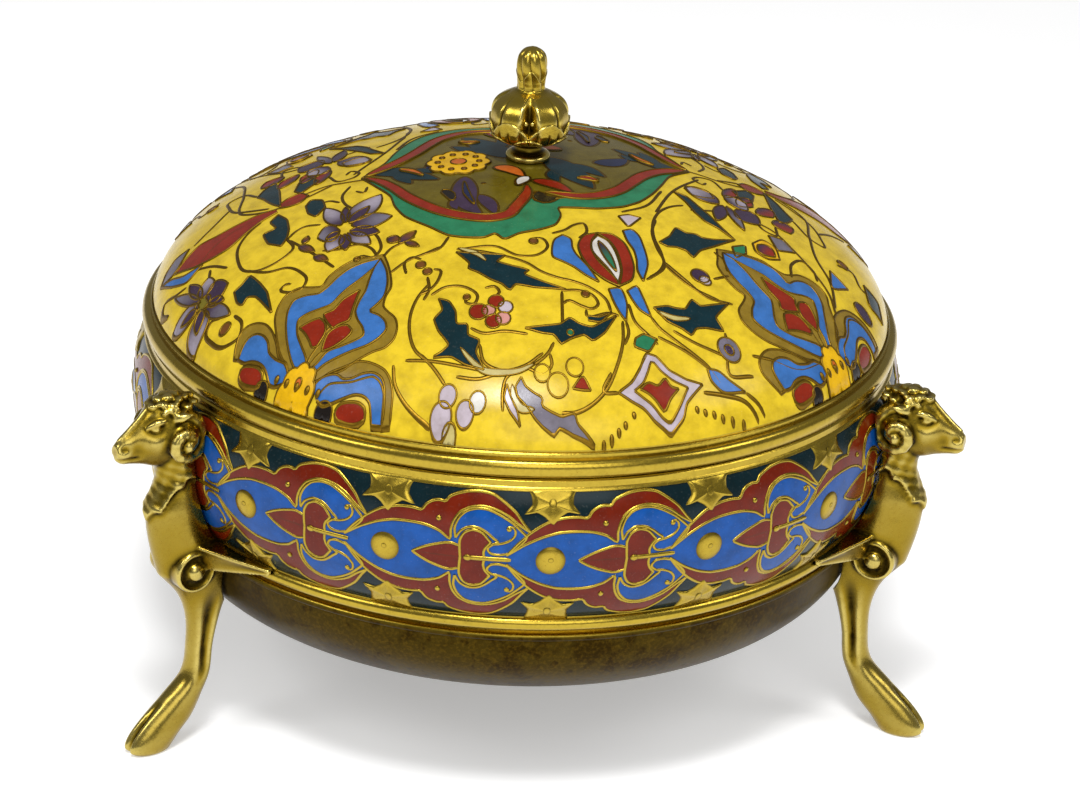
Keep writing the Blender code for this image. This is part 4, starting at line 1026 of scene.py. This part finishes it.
# The head's upright rings: share of its reach, then its underside and top from the seam, and half width
HEAD_ROWS = (
    (0.00, -8.0, HEAD_TOP - 1.0, HEAD_HALF * 0.72), (0.14, -10.4, HEAD_TOP - 0.2, HEAD_HALF * 0.94),
    (0.32, -11.4, HEAD_TOP, HEAD_HALF), (0.50, -11.0, HEAD_TOP - 1.2, HEAD_HALF * 0.88),
    (0.64, -10.2, HEAD_TOP - 3.2, HEAD_HALF * 0.68), (0.80, -9.6, HEAD_TOP - 5.2, HEAD_HALF * 0.52),
    (0.93, -9.2, HEAD_TOP - 6.6, HEAD_HALF * 0.44), (1.00, -8.4, HEAD_TOP - 7.6, HEAD_HALF * 0.30),
)
# Places on the head: out from the widest ring, to one side, and up from the seam
EYE = (7.6, 3.1, -2.7)
# What is pressed in or out of the head: its place, size and height, which is below nought for a hollow
PRESSED = (
    (EYE, 1.5, -0.9), ((8.2, 2.7, -5.6), 2.0, 0.55), ((11.2, 2.1, -6.4), 1.4, -0.40),
    ((13.4, 1.5, -5.9), 0.75, -0.65),
)
# Tufts of wool before each ear
TUFTS = (
    (3.4, 2.7, 1.2), (4.5, 2.6, 1.1), (5.6, 2.4, 0.8), (3.8, 3.5, 0.4), (4.9, 3.3, 0.3), (5.9, 3.0, 0.0),
    (4.3, 3.9, -0.4),
)


def read_rows(rows, share):
    """A table's columns at each share, on a cubic through its rows."""
    rows = np.asarray(rows, float)
    at, given = rows[:, 0], rows[:, 1:]
    slope = np.vstack([(given[1:2] - given[:1]) / (at[1] - at[0]),
                       (given[2:] - given[:-2]) / (at[2:] - at[:-2])[:, None],
                       (given[-1:] - given[-2:-1]) / (at[-1] - at[-2])])
    i = np.clip(np.searchsorted(at, share, "right") - 1, 0, len(at) - 2)
    span = (at[i + 1] - at[i])[:, None]
    t = (np.asarray(share) - at[i])[:, None] / span
    return cubic(t, given[i], given[i + 1], slope[i] * span, slope[i + 1] * span).T[..., None]


def capped(shell, points):
    """Adds a closed loft: rings of points with their two ends drawn to their middles."""
    ends = [np.broadcast_to(ring.mean(1, keepdims=True), ring.shape) for ring in (points[:1], points[-1:])]
    shell.grid(np.concatenate([ends[0], points, ends[1]]), closed=True)


def ball(shell, centre, radii, steps=16):
    """An ellipsoid: rings at even angles from pole to pole."""
    polar = np.linspace(0.02, pi - 0.02, steps // 2 + 2)[:, None]
    turn = around(steps)
    unit = xyz(np.sin(polar) * np.cos(turn), np.sin(polar) * np.sin(turn), np.cos(polar))
    capped(shell, np.asarray(centre) + unit * np.asarray(radii))


def bar(shell, path, radius, beside, steps):
    """A round bar along a path; its section stands square to the path and to the beside direction."""
    path = np.asarray(path, float)
    along = np.gradient(path, axis=0)
    along /= np.linalg.norm(along, axis=1)[:, None]
    first = np.cross(along, beside)
    first /= np.linalg.norm(first, axis=1)[:, None]
    second = np.cross(along, first)
    turn = around(steps)[None, :, None]
    radius = np.broadcast_to(radius, len(path))[:, None, None]
    capped(shell, path[:, None] + radius * (first[:, None] * np.cos(turn) + second[:, None] * np.sin(turn)))


def spun(shell, profile, centre):
    """A profile of distance across and radius, turned about the line across the leg."""
    profile = np.asarray(profile, float)
    turn = around(56)
    across, radius = profile[:, :1], profile[:, 1:]
    capped(shell, np.asarray(centre) + xyz(radius * np.cos(turn), across, radius * np.sin(turn)))


def dent(points, away, centre, size, depth):
    """Pushes points along a direction by a bell of a size round a centre; a negative depth hollows."""
    near = np.exp(-((points - np.asarray(centre)) ** 2).sum(-1) / size**2)
    return points + away * (depth * near)[..., None]


def leg_body(shell):
    """Level rings: cloven hoof, fluted shank, smooth chest, and wool that ends in a ragged pointed hem."""
    low, high = np.linspace(0, 1, 130), np.linspace(0, 0.76, 100)[1:]
    rows = [read_rows(SHANK_ROWS, low), read_rows(CHEST_ROWS, high)]
    back, front, half = np.concatenate(rows, axis=1)
    height = np.r_[KNEE_Z * low, KNEE_Z + (SEAM - KNEE_Z) * high][:, None]
    turn = around(72)[None]
    share = np.where(height < KNEE_Z, height / KNEE_Z, 1.0)
    shank = np.exp(-((share - 0.60) / 0.22) ** 4)
    hoof = np.clip(1 - share / 0.26, 0, 1) ** 0.5
    ahead = np.clip(np.cos(turn), 0, 1)
    depth = (front - back) / 2
    out = (front + back) / 2 + depth * np.cos(turn) - depth * (0.34 * hoof * ahead**60)
    side = half * np.sin(turn) * (1 - 0.46 * shank * np.abs(np.sin(turn)) ** 14)
    hem = SEAM - 15.2 - 6.8 * ahead**1.5 + 1.3 * np.abs(np.sin(4.5 * turn))
    above = np.clip(height - hem, 0, 20)
    wool = step_up(height - hem, -0.2, 0.35) * (height > KNEE_Z)
    curls = 0.20 * np.sin(7 * turn + 1.3 * height) * np.sin(2.3 * height - 3 * turn)
    curls = curls * (0.35 + 0.65 * np.exp(-above / 3.0))
    swell = wool * (0.75 * np.exp(-above / 3.2) + 0.10 + curls)
    capped(shell, xyz(WIDEST_R + out + swell * np.cos(turn), side + swell * np.sin(turn), height))


def on_head(out, across, up):
    """Places measured out from the widest ring and up from the seam, as points."""
    return xyz(WIDEST_R + out, across, SEAM + up)


def ram_head(shell):
    """Upright rings from the skull to the muzzle, with brows, eyes, cheeks, nostrils and mouth pressed in."""
    share = np.linspace(0, 1, 90)
    low, high, half = read_rows(HEAD_ROWS, share)
    share = share[:, None]
    turn = around(80)[None]
    cheek = 1 - 0.16 * np.clip(-np.sin(turn), 0, 1)
    away = xyz(0, np.cos(turn), np.sin(turn))
    points = on_head(NOSE_REACH * share, half * np.cos(turn) * cheek,
                     (low + high) / 2 + (high - low) / 2 * np.sin(turn))
    for end in (-1, 1):
        for (out, across, up), size, depth in PRESSED:
            points = dent(points, away, on_head(out, end * across, up), size, depth)
        ball(shell, on_head(EYE[0], end * (EYE[1] - 0.35), EYE[2]), (1.15, 0.75, 0.62))
        brow = curve([(5.4, 3.0), (6.6, 3.1), (8.2, 2.7), (9.4, 2.1)], count=14)
        step = np.linspace(0, 1, 14)
        path = on_head(brow[:, 0], end * brow[:, 1], 0.35 * np.sin(pi * step) - 1.0 * step**2 - 1.7)
        bar(shell, path, 0.30 + 0.30 * np.sin(pi * np.linspace(0.1, 0.95, 14)), UP, 10)
        eyelid = path + (0, 0, -2.0) - (path - path.mean(0)) * (0.2, 0, 0)
        bar(shell, eyelid, 0.34, UP, 8)
        for out, across, up in TUFTS:
            ball(shell, on_head(out, end * across, up), (0.60, 0.5, 0.50), 10)
        ear = on_head(np.linspace(4.6, 1.6, 8), end * np.linspace(3.6, 5.6, 8), -np.linspace(1.4, 0.2, 8))
        bar(shell, ear, 0.9 * np.sin(pi * np.linspace(0.25, 0.98, 8)), UP, 10)
    mouth = np.exp(-((points[..., 2] - SEAM + 8.0) / 0.30) ** 2) * step_up(share, 0.70, 0.78)
    capped(shell, points - away * (0.42 * mouth)[..., None])
    heights = np.array(HEAD_ROWS)[:, (0, 2)].T
    ridge = on_head(np.linspace(7.4, 13.8, 12), 0, np.interp(np.linspace(0.50, 0.94, 12), *heights) - 0.45)
    bar(shell, ridge, 0.75, ACROSS, 10)
    crown_of_wool(shell)


def crown_of_wool(shell):
    """Rows of small wool curls over the crown and down the brow, each a ring with a bead in it."""
    for reach, count in ((-0.6, 3), (1.0, 4), (2.6, 5), (4.2, 4), (5.8, 3), (7.2, 2)):
        low, high, half = read_rows(HEAD_ROWS, np.array([max(0.0, reach / NOSE_REACH)])).ravel()
        for i in range(count):
            side = (i - (count - 1) / 2) * 1.62
            top = (low + high) / 2 + (high - low) / 2 * (max(0.05, 1 - (side / half) ** 2)) ** 0.5
            curl(shell, on_head(reach, side, top + 0.05), 0.62, 0.40)


def curl(shell, centre, radius, thickness):
    """One curl of wool, a small ring with a bead inside, lying level."""
    turn = np.linspace(0, 2 * pi, 11)[:, None]
    section = around(8)[None]
    ring = radius + thickness * np.cos(section)
    points = xyz(ring * np.cos(turn), ring * np.sin(turn), thickness * np.sin(section))
    shell.grid(centre + points, closed=True)
    ball(shell, centre + (0, 0, 0.12), (0.26, 0.26, 0.34), 8)


def horn(shell, end):
    """A ribbed horn on a tightening spiral from the brow over the back and round to a blunt ball."""
    share = np.linspace(0, 1, 150)
    turn = np.radians(60 + 570 * share)
    radius = HORN_R * (1.45 - 1.12 * share**0.85) - HORN_THICKNESS / 2 * (1 - 0.4 * share)
    out = 4.5 * (0.42 + 0.58 * np.minimum(1, 2.6 * share)) + HORN_THICKNESS * 0.32 * share
    path = on_head(2.7 + radius * np.cos(turn), end * out, radius * np.sin(turn) - 5.7)
    ball(shell, on_head(2.7, end * 4.0, -5.7), (3.4, 1.6, 3.4), 24)
    ribs = 1 + 0.055 * np.sin(2 * pi * 17 * share) ** 3
    bar(shell, path, HORN_THICKNESS / 2 * (1 - 0.45 * share) * ribs, ACROSS, 24)
    ball(shell, path[-1], (1.3, 1.3, 1.3))


def scrolls(shell):
    """A drum across the knee with a raised rim and a ball boss at each side, and the wings behind it."""
    face = [(0.0, SCROLL_R), (4.6, SCROLL_R), (5.05, SCROLL_R - 0.05), (5.25, SCROLL_R - 0.3),
            (5.25, SCROLL_R - 0.7), (5.05, SCROLL_R - 0.95), (4.8, SCROLL_R - 1.2), (4.75, 2.1), (4.85, 1.8),
            (5.2, 1.7), (5.6, 1.45), (5.85, 1.1), (6.05, 0.6), (6.1, 0.1)]
    profile = [(-across, radius) for across, radius in reversed(face)] + face[1:]
    spun(shell, profile, (WIDEST_R + 0.9, 0, KNEE_Z + 1.2))
    spread = np.linspace(-1, 1, 121)
    share = np.abs(spread)
    turn = np.radians(WING_SPAN) * spread
    height = WING_HEIGHT * (1 - 0.80 * share)
    proud = BAND_FOOT_R + 2.1 + WING_PROUD * (1 - share) ** 1.4
    top, inner = BAND_FOOT + 0.4, BAND_FOOT_R - 3
    section = [(inner, top), (proud - 0.8, top), (proud - 0.2, top - 0.12), (proud, top - height * 0.25),
               (proud - 0.3, top - height * 0.5), (proud - 1.2 * (1 - share), top - height),
               (inner, top - height)]
    capped(shell, np.stack([xyz(r * np.cos(turn), r * np.sin(turn), z) for r, z in section], axis=1))
    rim = xyz((proud - 0.15) * np.cos(turn), (proud - 0.15) * np.sin(turn), top - 0.3)
    bar(shell, rim[2:-2], 0.45 * (1 - 0.5 * share[2:-2] ** 6), UP, 10)


def envelope(height):
    """The outside radius of bowl and lid at each height, grown by the air that parts them from the legs."""
    under_r, under_z = underside(arc(60, 89.9, 0), BAND_FOOT_R - 0.6 - BASE_R, UNDERSIDE_HEIGHT).T
    band_z = np.linspace(BAND_FOOT + 0.05, BAND_TOP, 40)
    rise = np.r_[bowl_low.z - SEAT_GAP - 0.01, under_z - SEAT_GAP, GROOVE_FOOT, BAND_FOOT, band_z,
                 BAND_TOP + 0.01, LID_FOOT + 3.8, LID_FOOT + 3.81]
    reach = np.r_[-9, under_r, BAND_FOOT_R + 0.9, BAND_FOOT_R + 0.9, band_radius(band_z) + 0.25,
                  SEAM_R + 0.8, SEAM_R + 0.8, -9]
    return np.interp(height, rise, reach + SEAT_GAP)


def arrays(mesh):
    """A mesh's points, normals and edges as arrays."""
    points = np.empty(len(mesh.vertices) * 3, np.float32)
    mesh.vertices.foreach_get("co", points)
    normals = np.empty(len(mesh.vertices) * 3, np.float32)
    mesh.vertices.foreach_get("normal", normals)
    edges = np.empty(len(mesh.edges) * 2, np.int32)
    mesh.edges.foreach_get("vertices", edges)
    return points.reshape(-1, 3).astype(float), normals.reshape(-1, 3), edges.reshape(-1, 2)


def relaxed(points, edges, rounds):
    """Each point moved halfway to the mean of its neighbours, several times over."""
    first, second = edges.T
    count = np.bincount(edges.ravel(), minlength=len(points))[:, None] + 1e-9
    for _ in range(rounds):
        near = columns(*(np.bincount(first, points[second, k], len(points))
                         + np.bincount(second, points[first, k], len(points)) for k in range(3)))
        points = (points + near / count) / 2
    return points


def mark_hollows_and_shade(mesh, rounds=14, deep=0.10):
    """Writes the edge value: 1 in hollows (patina in small ones, painted shade in broad ones), painted shade
    where the metal faces down, and -1 on ridges for a painted highlight.
    """
    points, normals, edges = arrays(mesh)
    below = ((relaxed(points, edges, rounds) - points) * normals).sum(1) / (deep * MM)
    # Painted shade: broad hollows and metal that faces down are darkened.
    broad_hollow_shade = ((relaxed(points, edges, rounds * 5) - points) * normals).sum(1) / (deep * 6 * MM)
    down_facing_shade = 0.5 * np.clip(0.15 - normals[:, 2], 0, 1)
    # Ridges fall below nought, which the gilt shows as a painted highlight.
    value = np.clip(below, -1, 1) * 0.75 + np.clip(broad_hollow_shade, -0.5, 1) + down_facing_shade
    attribute = mesh.attributes.get("edge") or mesh.attributes.new("edge", "FLOAT", "POINT")
    attribute.data.foreach_set("value", np.clip(value, -1, 1).astype(np.float32))


def make_legs():
    """One leg cast from all its shells in a single skin, then set round the bowl three times."""
    shell = Mesh()
    leg_body(shell)
    ram_head(shell)
    for end in (-1, 1):
        horn(shell, end)
    scrolls(shell)
    rough = shell.build("leg_shells")
    skin = rough.modifiers.new("skin", "REMESH")
    skin.mode, skin.voxel_size = "VOXEL", VOXEL * MM
    mesh = bpy.data.meshes.new_from_object(rough.evaluated_get(bpy.context.evaluated_depsgraph_get()))
    bpy.data.objects.remove(rough)
    points, _, edges = arrays(mesh)
    points = relaxed(points, edges, 3) / MM
    reach = np.hypot(points[:, 0], points[:, 1])
    grown = np.maximum(reach, envelope(points[:, 2])) / reach
    points[:, :2] *= grown[:, None]
    points[:, 2] = np.maximum(points[:, 2], 0.0)
    mesh.vertices.foreach_set("co", (points * MM).astype(np.float32).ravel())
    mesh.update()
    mark_hollows_and_shade(mesh)
    mesh.shade_smooth()
    legs = {}
    for node, degrees in LEG_NODES.items():
        copy = mesh.copy()
        turn = Matrix.Rotation(radians(degrees), 4, "Z")
        copy.transform(Matrix.Translation((0, AXIS_Y * MM, 0)) @ turn)
        legs[node] = linked(node + "_cast", copy)
    return legs


def make_finial():
    """Foot, neck, a bulb of creased petals parted to the core, two rows of low leaves, and a ribbed bud."""
    size = finial_high.z - finial_low.z
    stations = [(0.0, 4.2), (0.03, 4.2), (0.05, 3.8), (0.07, 2.9), (0.10, 2.6), (0.13, 2.8), (0.165, 4.6),
                (0.23, 6.8), (0.34, 7.6), (0.44, 7.5), (0.53, 6.3), (0.585, 4.3), (0.62, 2.75), (0.70, 2.6),
                (0.80, 2.95), (0.88, 2.85), (0.94, 2.4), (0.98, 1.4), (1.0, 0.2)]
    share = np.concatenate([np.linspace(0, 0.15, 24), np.linspace(0.15, 0.62, 150)[1:],
                            np.linspace(0.62, 1.0, 110)[1:]])
    radius = read_rows(stations, share)[0]
    turn = around(300)[None]
    front = turn - MAP_TURN + pi / 2
    s = share[:, None]
    bell = np.sin(pi * np.clip((s - 0.16) / 0.44, 0, 1)) ** 0.6
    away = np.abs(np.sin(2 * front))
    parting = 1 - step_up(away, 0.04, 0.64 - 0.55 * np.clip(s - 0.2, 0, 0.4))
    crease = np.exp(-(np.cos(2 * front) / 0.09) ** 2) * bell
    petals = 1 - 0.34 * bell * parting + 0.02 * np.cos(8 * front) * bell - 0.05 * crease
    low = step_up(0.27 + 0.13 * np.abs(np.sin(3 * front)) ** 0.8 - s, 0.0, 0.014) * step_up(s, 0.15, 0.19)
    mid = step_up(0.18 + 0.08 * np.abs(np.cos(3 * front)) ** 0.8 - s, 0.0, 0.014) * step_up(s, 0.15, 0.18)
    vein = np.exp(-(np.sin(6 * front) / 0.16) ** 2) * low * 0.16
    bud = step_up(s, 0.62, 0.64)
    rib = np.abs(np.sin(4 * front + 0.8 * np.sin(8 * s))) ** 0.7
    sheath = step_up(0.76 + 0.05 * np.cos(4 * front) - s, 0, 0.01) * bud
    grown = radius * petals * (1 - bud) + radius * bud * (0.84 + 0.16 * rib + 0.06 * sheath)
    grown = np.where(low > 0.5, np.maximum(grown, radius * 0.93), grown)
    grown = np.minimum(grown + (0.55 * low + 0.4 * mid - vein) * (1 - bud), FINIAL_R)
    shell = Mesh()
    capped(shell, xyz(grown * np.cos(turn), grown * np.sin(turn) + AXIS_Y, finial_low.z + size * s))
    for side in (-1, 1):
        angle = MAP_TURN - pi / 2 + side * 0.12
        berry = (5.6 * cos(angle), 5.6 * sin(angle) + AXIS_Y, finial_low.z + 0.38 * size)
        ball(shell, berry, (0.6, 0.6, 0.6), 10)
    piece = shell.build("finial_cast")
    mark_hollows_and_shade(piece.data, 8, 0.06)
    return piece


# Shader maths
BUMP_DEPTH = 0.00012           # metres
OBJECT_PLACE = 3               # the Texture Coordinate node's output for places on the object
COLOUR, FACTOR = 0, 2          # the Attribute node's outputs


class Value:
    """A socket of a material's nodes. Sums and products of values add Math nodes."""

    def __init__(self, tree, socket=None):
        self.tree, self.socket = tree, socket

    def node(self, kind, settings=None, sockets=None, output=0):
        """Adds a node of a kind: its settings first, then its sockets' values or links."""
        made = self.tree.nodes.new("ShaderNode" + kind)
        for key, setting in (settings or {}).items():
            setattr(made, key, setting)
        for key, value in (sockets or {}).items():
            if isinstance(value, Value):
                self.tree.links.new(value.socket, made.inputs[key])
            else:
                made.inputs[key].default_value = value
        return Value(self.tree, made.outputs[output])

    def math(self, operation, *terms):
        return self.node("Math", {"operation": operation}, dict(enumerate(terms)))

    def __add__(self, other):
        return self.math("ADD", self, other)

    def __mul__(self, other):
        return self.math("MULTIPLY", self, other)

    def __pow__(self, other):
        return self.math("POWER", self, other)

    __radd__ = __add__

    def clamp(self):
        return self.math("MAXIMUM", self.math("MINIMUM", self, 1.0), 0.0)

    def between(self, low, high):
        """0 below low, 1 above high and even in between."""
        return self.node("MapRange", {"clamp": True}, {"Value": self, "From Min": low, "From Max": high})

    def mix(self, first, second, blend="MIX"):
        """First where this value is 0 and second where it is 1."""
        return self.node("Mix", {"data_type": "RGBA", "blend_type": blend}, {0: self, 6: first, 7: second}, 2)

    def noise(self, scale, detail, roughness, where):
        sockets = {"Scale": scale, "Detail": detail, "Roughness": roughness, "Vector": where}
        return self.node("TexNoise", {}, sockets)

    def attribute(self, name, output):
        return self.node("Attribute", {"attribute_name": name}, {}, output)

    def bump(self, strength):
        """A normal from this value taken as a height."""
        return self.node("Bump", {}, {"Strength": strength, "Distance": BUMP_DEPTH, "Height": self})


def material(name):
    """A material with a Principled shader: itself, a value to build from, its shader and object places."""
    made = bpy.data.materials.new(name)
    made.use_nodes = True
    start = Value(made.node_tree)
    return made, start, made.node_tree.nodes["Principled BSDF"], start.node("TexCoord", output=OBJECT_PLACE)


def plug(value, shader, socket):
    """Links a value to a socket of the shader."""
    value.tree.links.new(value.socket, shader.inputs[socket])


def rgba(colour):
    """A colour of 0 to 255 as a shader takes it."""
    return (*linear(colour), 1.0)


def enamel_material():
    """Fired glass: the tint mottled and clouded, darker where it pools at a wall, pitted and uneven."""
    made, start, shader, where = material("champleve_enamel")
    cloud = start.noise(330.0, 4.0, 0.6, where)
    grain = start.noise(2300.0, 2.0, 0.6, where)
    waves = start.noise(120.0, 2.0, 0.5, where)
    tint = start.attribute("tint", COLOUR)
    edge = start.attribute("edge", FACTOR)
    shaded = start.node("Mix", {"data_type": "RGBA", "blend_type": "MULTIPLY"},
                        {0: 1.0, 6: tint, 7: (0.70, 0.68, 0.64, 1)}, 2)
    deep = cloud.between(0.38, 0.72).mix(tint, shaded)
    pale = (grain.between(0.60, 0.85) * 0.05).mix(deep, rgba((240, 236, 220)), "SCREEN")
    plug((edge ** 2.0 * 0.45).mix(pale, rgba((60, 48, 20))), shader, "Base Color")
    plug(0.16 + grain.between(0.5, 0.9) * 0.14 + cloud * 0.08, shader, "Roughness")
    shader.inputs["IOR"].default_value = 1.52
    shader.inputs["Specular IOR Level"].default_value = 0.20
    plug((waves + grain * 0.06 + cloud * 0.22).bump(0.5), shader, "Normal")
    return made


def gilt_material(name, bright, dark, roughness):
    """Gilt bronze: warm gold, brown in its hollows as patina and in random worn spots, with painted shade
    where the edge value marks shade (broad hollows, the bowl's underside, metal facing down, the foot of a
    boss) and a painted highlight on ridges, finely scratched.
    """
    made, start, shader, where = material(name)
    cloud = start.noise(90.0, 5.0, 0.62, where)
    grain = start.noise(1500.0, 3.0, 0.6, where)
    spots = start.noise(420.0, 2.0, 0.5, where)
    edge = start.attribute("edge", FACTOR)
    # Patina in hollows and random spots, with painted shade wherever the edge value marks shade.
    patina_and_shade = (edge.clamp() * 0.95 + spots.between(0.60, 0.85) * 0.16 + cloud.between(0.5, 0.8) * 0.18).clamp()
    # Painted highlight: pale gold is mixed in on ridges, where the edge value is below nought.
    ridge = (edge * -1.0).clamp()
    colour = (ridge * 0.6).mix(patina_and_shade.mix(rgba(bright), rgba(dark)), rgba((242, 222, 130)))
    colour = (grain.between(0.45, 0.75) * 0.22).mix(colour, rgba((150, 116, 30)))
    plug(colour, shader, "Base Color")
    shader.inputs["Metallic"].default_value = 1.0
    plug(roughness + patina_and_shade * 0.22 + grain.between(0.4, 0.8) * 0.10, shader, "Roughness")
    plug((grain * 0.35 + spots * 0.4 + cloud * 0.5).bump(0.45), shader, "Normal")
    return made


def floor_material():
    """Pale card that glows a little, so that it stays white away from the lamps."""
    made, start, shader, where = material("pale_floor")
    cloud = start.noise(14.0, 3.0, 0.5, where)
    plug(cloud.mix((0.86, 0.86, 0.86, 1), (0.90, 0.90, 0.90, 1)), shader, "Base Color")
    shader.inputs["Roughness"].default_value = 0.7
    shader.inputs["Emission Color"].default_value = (1, 1, 1, 1)
    shader.inputs["Emission Strength"].default_value = 0.36
    return made


def finish_piece(piece, surface, slot, *nodes):
    """Gives a piece its material and body, and hides the nodes that it stands for. The slot is not used."""
    piece.data.materials.clear()
    piece.data.materials.append(surface)
    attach(piece, "root")
    if nodes:
        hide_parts(*nodes)


# Stage: each lamp's name, place, aim, size and power, in metres and watts
LAMPS = (
    ("key", (-0.08, -0.44, 1.00), (0, 0, 0.08), 0.30, 4.0),
    ("glint", (-0.10, -0.46, 0.99), (0, 0, 0.08), 0.15, 3.2),
    ("front", (0.10, -1.20, 0.75), (0, 0, 0.06), 0.80, 4.5),
    ("left", (-0.78, -0.35, 0.85), (0, 0, 0.06), 0.40, 2.6),
    ("right", (0.78, -0.30, 0.85), (0, 0, 0.06), 0.40, 2.2),
)
SKY_STRENGTH = 0.26
CAMERA_PLACE = (-71.29, -533.97, 292.30)
CAMERA_FORWARD = (0.13008, 0.902265, -0.411094)
CAMERA_UP = (0.009766, 0.413431, 0.910483)
LENS = 98.83


def make_stage():
    """A pale flat floor, two small high lamps, three soft ones and an even sky."""
    mesh = bpy.data.meshes.new("floor")
    mesh.from_pydata([(-3, -3, 0), (3, -3, 0), (3, 3, 0), (-3, 3, 0)], [], [(0, 1, 2, 3)])
    mesh.shade_smooth()
    mesh.materials.append(floor_material())
    floor = linked("floor", mesh)
    for name, place, aim, size, power in LAMPS:
        light = bpy.data.lights.new(name, "AREA")
        light.shape, light.size, light.energy = "SQUARE", size, power
        lamp = linked(name, light)
        lamp.location = place
        lamp.rotation_euler = (Vector(aim) - Vector(place)).to_track_quat("-Z", "Y").to_euler()
    sky = bpy.data.worlds.new("studio")
    sky.use_nodes = True
    background = sky.node_tree.nodes["Background"].inputs
    background["Color"].default_value = (1, 1, 1, 1)
    background["Strength"].default_value = SKY_STRENGTH
    bpy.context.scene.world = sky
    bpy.context.scene.view_settings.view_transform = "Standard"


def make_camera():
    """The camera as solved from the ellipses of the rim and band."""
    forward, up = Vector(CAMERA_FORWARD), Vector(CAMERA_UP)
    lens = bpy.data.cameras.new("camera")
    lens.lens, lens.sensor_width = LENS, 36.0
    camera = linked("camera", lens)
    turn = Matrix((forward.cross(up), up, -forward)).transposed().to_4x4()
    camera.matrix_world = Matrix.Translation(Vector(CAMERA_PLACE) * MM) @ turn
    bpy.context.scene.camera = camera


def main():
    """The stage, then each piece with its material and body, the nodes that it stands for hidden."""
    make_stage()
    make_camera()
    enamel = enamel_material()
    gilt = gilt_material("gilt_bronze", (198, 170, 62), (50, 36, 6), 0.20)
    line_gilt = gilt_material("gilt_line", (150, 116, 34), (46, 30, 6), 0.36)
    # The legs' gilt is a darker copy of the bowl's gilt, as painted shade.
    cast = gilt_material("gilt_cast_shaded", (158, 132, 38), (26, 18, 3), 0.22)
    finish_piece(turned("lid_shell", lid_profile()), gilt, "gilt_bronze", "lid")
    finish_piece(lid_ground(), enamel, "champleve_enamel")
    picture = paint_lid()
    finish_piece(picture.enamel.build("lid_enamel"), enamel, "champleve_enamel")
    finish_piece(picture.metal.build("lid_walls"), line_gilt, "gilt_bronze")
    # The bowl's metal below the groove is darkened as painted shade.
    finish_piece(turned("bowl_shell", bowl_profile(), GROOVE_FOOT), gilt, "gilt_bronze", "bowl")
    finish_piece(band_ground(), enamel, "champleve_enamel")
    band = paint_band()
    frame_lines(band)
    finish_piece(band.enamel.build("band_enamel"), enamel, "champleve_enamel")
    finish_piece(band.metal.build("band_walls"), gilt, "gilt_bronze")
    finish_piece(make_finial(), gilt, "gilt_bronze", "finial")
    for node, leg in make_legs().items():
        finish_piece(leg, cast, "gilt_bronze", node)


main()
